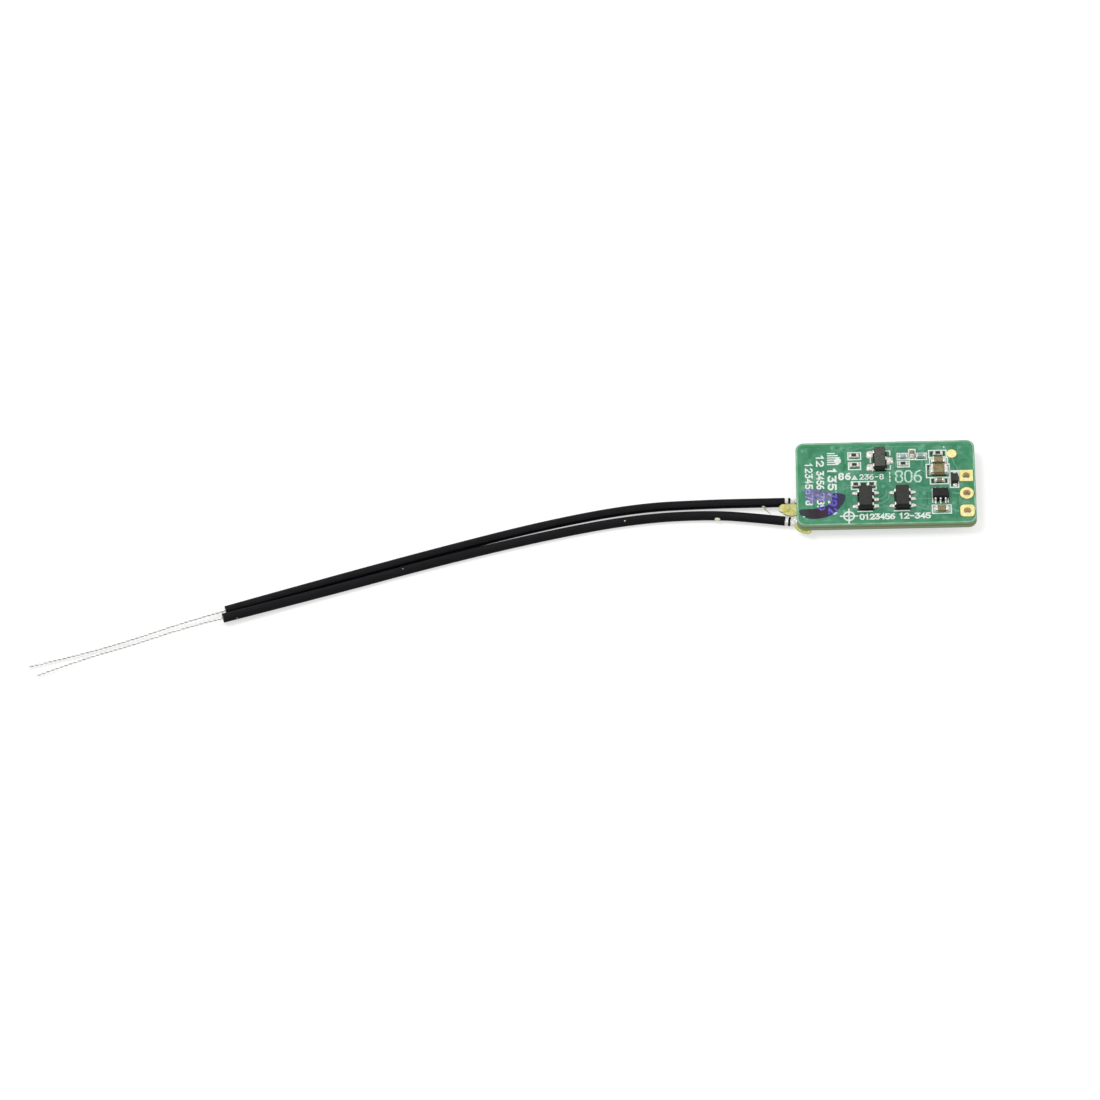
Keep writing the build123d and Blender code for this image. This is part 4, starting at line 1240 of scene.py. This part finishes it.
# Diode: block body with a parting line, flat tabs in solder
diodeSpec = {"lift": 0.005, "draft": 0.05, "edge": 0.05, "tab": 0.76, "joint": (0.3, 0.3, 0.24, 0.12, 0.1)}
low, high, middle, half = nodeBox("diode_body")
diode, joints = bmesh.new(), bmesh.new()
addRings(diode, packageRings(high.x - middle.x, high.y - middle.y, low.z + diodeSpec["lift"], high.z,
                             diodeSpec["draft"], diodeSpec["edge"]), Matrix.Translation((middle.x, middle.y, 0)))
makePiece("diodeBody", diode, [epoxy], replaces=["diode_body"], sharpAngle=50)
for side in (-1, 1):
    addSolder(joints, topSeat(middle.x, middle.y), 0, side * diodeSpec["tab"], *diodeSpec["joint"], seed=side)
makePiece("diodeSolder", joints, [solder], sharpAngle=75)
dressSolid("diode_tabs", tin)


# Chips: ceramic between two wrapped metal ends, with solder up each end
chipKinds = {
    "resistor": {
        "end": 0.2, "corner": 0.02, "edge": 0.03, "bulge": 0.02, "solder": 0.08,
        "core": [alumina, glaze], "slot": "resistor_glaze",
    },
    "inductor": {
        "end": 0.2, "corner": 0.05, "edge": 0.08, "bulge": 0.07, "solder": 0.1,
        "core": [inductorCeramic] * 2, "slot": "inductor_ceramic",
    },
    "capacitor": {
        "end": 0.3, "corner": 0.07, "edge": 0.11, "bulge": 0.13, "solder": 0.12,
        "core": [capacitorCeramic] * 2, "slot": "capacitor_ceramic",
    },
}
chipShape = {"inset": 0.02, "glaze": 0.014, "smallest": 0.6, "smallEnd": 0.25, "endGrowth": 0.6}
turnedChips = ("capacitor_1", "under_capacitor_1")
upperChips = (["resistor_%d" % k for k in range(1, 7)] + ["inductor_1", "inductor_2"]
              + ["capacitor_%d" % k for k in range(1, 6)])
lowerChips = ["power_capacitor_1", "power_capacitor_2"] + ["under_capacitor_%d" % k for k in range(1, 4)]


def makeChip(node, makeSeat):
    kind = chipKinds[node.replace("power_", "").replace("under_", "").split("_")[0]]
    glazed = kind["slot"] == "resistor_glaze"
    low, high, middle, half = nodeBox(node)
    turned = node in turnedChips
    halfX, halfY = (half.y, half.x) if turned else (half.x, half.y)
    height = high.z - low.z
    small = halfX < chipShape["smallest"]
    end = kind["end"] * (1 if glazed or small else 0.9 + chipShape["endGrowth"] * (halfX - 0.5))
    if small:
        end = min(end, chipShape["smallEnd"])
    seat = makeSeat(middle.x, middle.y, 90 if turned else 0)
    chip = bmesh.new()
    inset = chipShape["inset"]
    coreTop = height - inset
    addRings(chip, roundedBlock(halfX - end + inset, halfY - inset, inset, coreTop, 0.015, kind["bulge"]), seat)
    if glazed:
        addRings(chip, roundedBlock(halfX - end - 0.01, halfY - inset - 0.02, coreTop - 0.01,
                                    coreTop + chipShape["glaze"], 0.03, 0.012), seat, slot=1)
    for side in (-1, 1):
        addRings(chip, roundedBlock(end / 2, halfY, 0.0, height, kind["corner"], kind["edge"]),
                 seat @ Matrix.Translation((side * (halfX - end / 2), 0, 0)), slot=2)
        addSolder(chip, seat, side * (halfX + 0.01), 0, kind["solder"] + end * 0.4, halfY + 0.02, height * 0.55,
                  0.04, halfY * 0.72, swell=1.5, seed=middle.x + side, slot=3)
    makePiece(camelName(node) + "Chip", chip, [*kind["core"], tin, solder], replaces=[node],
              sharpAngle=50)


for node in upperChips:
    makeChip(node, topSeat)
for node in lowerChips:
    makeChip(node, underSeat)
print("chips placed")


# Lower face: flat packages, crystal, lights, bind switch and the antennas' solder
flatPackages = {  # lands on each side, their pitch and their width
    "rf_transceiver": (5, 0.5, 0.23),
    "rf_amplifier": (4, 0.5, 0.25),
    "controller": (8, 0.5, 0.25),
}
flatShape = {"corner": 0.04, "edge": 0.035, "key": 0.55, "dimple": [(0.2, 0.0), (0.18, 0.02), (0.14, 0.03)]}
for node in flatPackages:
    low, high, middle, half = nodeBox(node + "_body")
    height = high.z - low.z
    body = bmesh.new()
    rings = roundedBlock(half.x, half.y, 0.0, height, flatShape["corner"], flatShape["edge"])
    rings += [roundRing(radius, height - depth, flatShape["key"] - half.x, flatShape["key"] - half.y)
              for radius, depth in flatShape["dimple"]]
    addRings(body, rings, underSeat(middle.x, middle.y))
    makePiece(camelName(node) + "Body", body, [epoxy], replaces=[node + "_body"], sharpAngle=50)
    dressSolid(node + "_lands", tin)
for node, (count, pitch, width) in flatPackages.items():
    low, high, middle, half = nodeBox(node + "_lands")
    joints = bmesh.new()
    for turn in (0, 90, 180, 270):
        for k in range(count):
            addSolder(joints, underSeat(middle.x, middle.y, turn), half.x + 0.08, (k - (count - 1) / 2) * pitch, 0.17,
                      width / 2 + 0.02, 0.16, 0.05, width * 0.3, swell=1.3, seed=k + turn)
    makePiece(camelName(node) + "Solder", joints, [solder], sharpAngle=75)

low, high, middle, half = nodeBox("crystal_lid")
lid, joints = bmesh.new(), bmesh.new()
rings = [blockRing(half.x - inset, half.y - inset, corner, z, steps=6)  # the lid's welded flange
         for inset, corner, z in ((0, 0.35, 0.0), (0, 0.35, 0.05), (0.05, 0.3, 0.08))]
rings += roundedBlock(half.x - 0.06, half.y - 0.06, 0.09, high.z - low.z, 0.3, 0.1, 0.02, steps=6)
addRings(lid, rings, Matrix.Translation((middle.x, middle.y, high.z)) @ Matrix.Rotation(math.pi, 4, "X"))
makePiece("crystalLid", lid, [steel], replaces=["crystal_lid"], sharpAngle=50)
dressSolid("crystal_base", crystalCeramic)
fourCorners = [(-1, -1), (-1, 1), (1, -1), (1, 1)]
low, high, middle, half = nodeBox("crystal_base")
for sideX, sideY in fourCorners:
    addSolder(joints, underSeat(middle.x, middle.y), sideX * (half.x - 0.3), sideY * (half.y - 0.1), 0.5, 0.32,
              0.16, 0.25, 0.12, seed=sideX + sideY)
makePiece("crystalSolder", joints, [solder], sharpAngle=75)

lightShape = {"base": 0.24, "lens": 0.5, "lensEdge": 0.08, "lensDraft": 0.05, "end": 0.16, "endTop": 0.255}
for node, lens in (("status_light_red", redLens), ("status_light_green", greenLens)):
    low, high, middle, half = nodeBox(node)
    light = bmesh.new()
    seat = underSeat(middle.x, middle.y)
    addRings(light, roundedBlock(half.x - 0.02, half.y, 0.0, lightShape["base"], 0.03, 0.02), seat, slot=0)
    addRings(light, roundedBlock(lightShape["lens"], half.y - 0.01, lightShape["base"] - 0.005, high.z - low.z, 0.05,
                                 lightShape["lensEdge"], lightShape["lensDraft"]), seat, slot=1)
    for side in (-1, 1):
        addRings(light, roundedBlock(lightShape["end"], half.y + 0.005, 0.0, lightShape["endTop"], 0.03, 0.02),
                 seat @ Matrix.Translation((side * (half.x - lightShape["end"]), 0, 0)), slot=2)
        addSolder(light, seat, side * (half.x + 0.05), 0, 0.26, half.y + 0.02, 0.2, 0.06, half.y * 0.7, swell=1.4,
                  seed=side + middle.y, slot=3)
    makePiece(camelName(node), light, [alumina, lens, gold, solder], replaces=[node],
              sharpAngle=50)

dressSolid("switch_housing", switchPlastic)
dressSolid("switch_cover", steel)
dressSolid("switch_terminals", tin)

# The snap dome, built domed as it stands before the button is pressed; the real one lies flat when it is pressed
domeSpec = {"sheet": 0.05, "eyelet": 0.04, "rings": 8, "sides": 40, "flatHeight": 0.03}
low, high, middle, half = nodeBox("switch_dome")
domeHeight = high.z - low.z


def domeRings(radius, height, base):
    # The cap of a sphere of that height, from its rim to the eyelet at its top
    sphere = (radius ** 2 + height ** 2) / (2 * height)
    rings = []
    for step in range(domeSpec["rings"] + 1):
        reach = radius + (domeSpec["eyelet"] - radius) * step / domeSpec["rings"]
        rise = math.sqrt(sphere ** 2 - reach ** 2) - (sphere - height)
        rings.append(roundRing(reach, base - rise, middle.x, middle.y, domeSpec["sides"]))
    return rings


dome = bmesh.new()
outerSide = domeRings(half.x, domeHeight, high.z)
innerSide = domeRings(half.x - domeSpec["sheet"], domeHeight - domeSpec["sheet"], high.z)
addRings(dome, outerSide + list(reversed(innerSide)), closed=True)
domePiece = makePiece("switchDome", dome, [steel], replaces=["switch_dome"])
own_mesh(domePiece)

# The button: a nub that presses the dome, a flange inside the cover, and a crown with a shallow dish
buttonSpec = {"nub": 0.3, "flange": 1.0, "flangeThick": 0.12, "crown": 0.7, "crownHeight": 0.38, "soft": 0.02,
              "sides": 40}
low, high, middle, half = nodeBox("bind_button")
depth = high.z - low.z
flangeTop = depth - buttonSpec["crownHeight"]
flangeLow = flangeTop - buttonSpec["flangeThick"]
nub, flange, crown, soft = [buttonSpec[key] for key in ("nub", "flange", "crown", "soft")]
profile = [(nub - 0.03, 0.0), (nub, soft), (nub, flangeLow), (flange - soft, flangeLow), (flange, flangeLow + soft),
           (flange, flangeTop - soft), (flange - soft, flangeTop), (crown, flangeTop), (crown, depth - 0.08),
           (crown - 0.023, depth - 0.023), (crown - 0.08, depth), (0.5, depth), (0.42, depth - 0.03),
           (0.2, depth - 0.045)]
button, joints = bmesh.new(), bmesh.new()
addRings(button, [roundRing(radius, z, count=buttonSpec["sides"]) for radius, z in profile],
         Matrix.Translation((middle.x, middle.y, high.z)) @ Matrix.Rotation(math.pi, 4, "X"))
makePiece("bindButton", button, [buttonPlastic], body=buttonBody, replaces=["bind_button"],
          sharpAngle=40)
low, high, middle, half = nodeBox("switch_terminals")
for sideX, sideY in fourCorners:
    addSolder(joints, underSeat(middle.x, middle.y), sideX * (half.x - 0.05), sideY * 0.85, 0.36, 0.36, 0.22,
              0.1, 0.15, seed=sideX * 2 + sideY)
makePiece("switchSolder", joints, [solder], sharpAngle=75)

antennaJoint = {"inward": 2.0, "cover": 0.06, "braid": (0.55, 0.85), "core": (0.45, 0.45), "coreDrop": 0.5}
joints = bmesh.new()
for seed, (antenna, spec) in enumerate(antennas.items()):
    inward = inwardFrom(spec["jacket"])
    spot = Vector(spec["jacket"][0]) + inward * antennaJoint["inward"]
    turn = -math.degrees(math.atan2(inward.y, inward.x))
    hang = boardUnder - cableLevel + braidSpec["across"] / 2 + antennaJoint["cover"]
    addLump(joints, underSeat(spot.x, spot.y, turn), *antennaJoint["braid"], hang, seed + 7.0, rough=0.06, count=28,
            power=0.5)
    tip = coreTips[antenna]
    addLump(joints, underSeat(tip.x, tip.y), *antennaJoint["core"], antennaJoint["coreDrop"], seed + 11.0, rough=0.06,
            count=24, power=0.7)
makePiece("antennaSolder", joints, [solder], replaces=["antenna_solder"], sharpAngle=80)
print("lower face finished")


# Floor, light and background

floor = {"half": 3.0, "colour": "#CFCFCD", "white": 0.54}


def makeFloor(spec):
    mesh = bpy.data.meshes.new("floor")
    half = spec["half"]
    mesh.from_pydata([(-half, -half, 0), (half, -half, 0), (half, half, 0), (-half, half, 0)], [], [(0, 1, 2, 3)])
    obj = bpy.data.objects.new("floor", mesh)
    bpy.context.scene.collection.objects.link(obj)
    material, tree, surface = startMaterial("paleFloor", spec["colour"], 0.9)
    surface.inputs["Specular IOR Level"].default_value = 0.0
    sight = addNode(tree, "ShaderNodeLightPath")
    seen = addNode(tree, "ShaderNodeMath", {"operation": "MAXIMUM"}, {
        0: (sight, "Is Camera Ray"), 1: (sight, "Is Transmission Ray")})
    lift = addNode(tree, "ShaderNodeMath", {"operation": "MULTIPLY"}, {0: (seen, "Value"), 1: spec["white"]})
    glow = addNode(tree, "ShaderNodeEmission", {}, {"Strength": (lift, "Value")})
    both = addNode(tree, "ShaderNodeAddShader", {}, {0: (surface, "BSDF"), 1: (glow, "Emission")})
    output = tree.nodes["Material Output"]
    tree.links.new(both.outputs["Shader"], output.inputs["Surface"])
    mesh.materials.append(material)


makeFloor(floor)

world = bpy.data.worlds.new("studio")
bpy.context.scene.world = world
world.use_nodes = True
tree = world.node_tree
backdrop = tree.nodes["Background"]
backdrop.inputs["Color"].default_value = toLinear("#FFFFFF")
sight = addNode(tree, "ShaderNodeLightPath")
shiny = addNode(tree, "ShaderNodeMath", {"operation": "MAXIMUM"}, {
    0: (sight, "Is Glossy Ray"), 1: (sight, "Is Transmission Ray")})
clear = addNode(tree, "ShaderNodeMath", {"operation": "MAXIMUM"}, {0: (sight, "Is Camera Ray"), 1: (shiny, "Value")})
level = addNode(tree, "ShaderNodeMapRange", {}, {
    "Value": (clear, "Value"), "To Min": 0.6, "To Max": 1.0})
tree.links.new(level.outputs["Result"], backdrop.inputs["Strength"])

lamps = {
    "key": {"place": (-340, 60, 680), "aim": (-45, -5, 0), "size": 360, "power": 2.1},
    "fill": {"place": (-260, -520, 420), "aim": (-45, -5, 0), "size": 420, "power": 0.3},
    "side": {"place": (420, -60, 300), "aim": (-30, -5, 0), "size": 260, "power": 0.25},
}
for name, lamp in lamps.items():
    data = bpy.data.lights.new(name, "AREA")
    data.shape = "DISK"
    data.size = lamp["size"] * mm
    data.energy = lamp["power"]
    obj = bpy.data.objects.new(name, data)
    place = Vector(lamp["place"]) * mm
    aim = (Vector(lamp["aim"]) * mm - place).to_track_quat("-Z", "Y")
    obj.matrix_world = Matrix.Translation(place) @ aim.to_matrix().to_4x4()
    bpy.context.scene.collection.objects.link(obj)

bpy.context.scene.view_settings.view_transform = "Standard"
print("floor and light set")
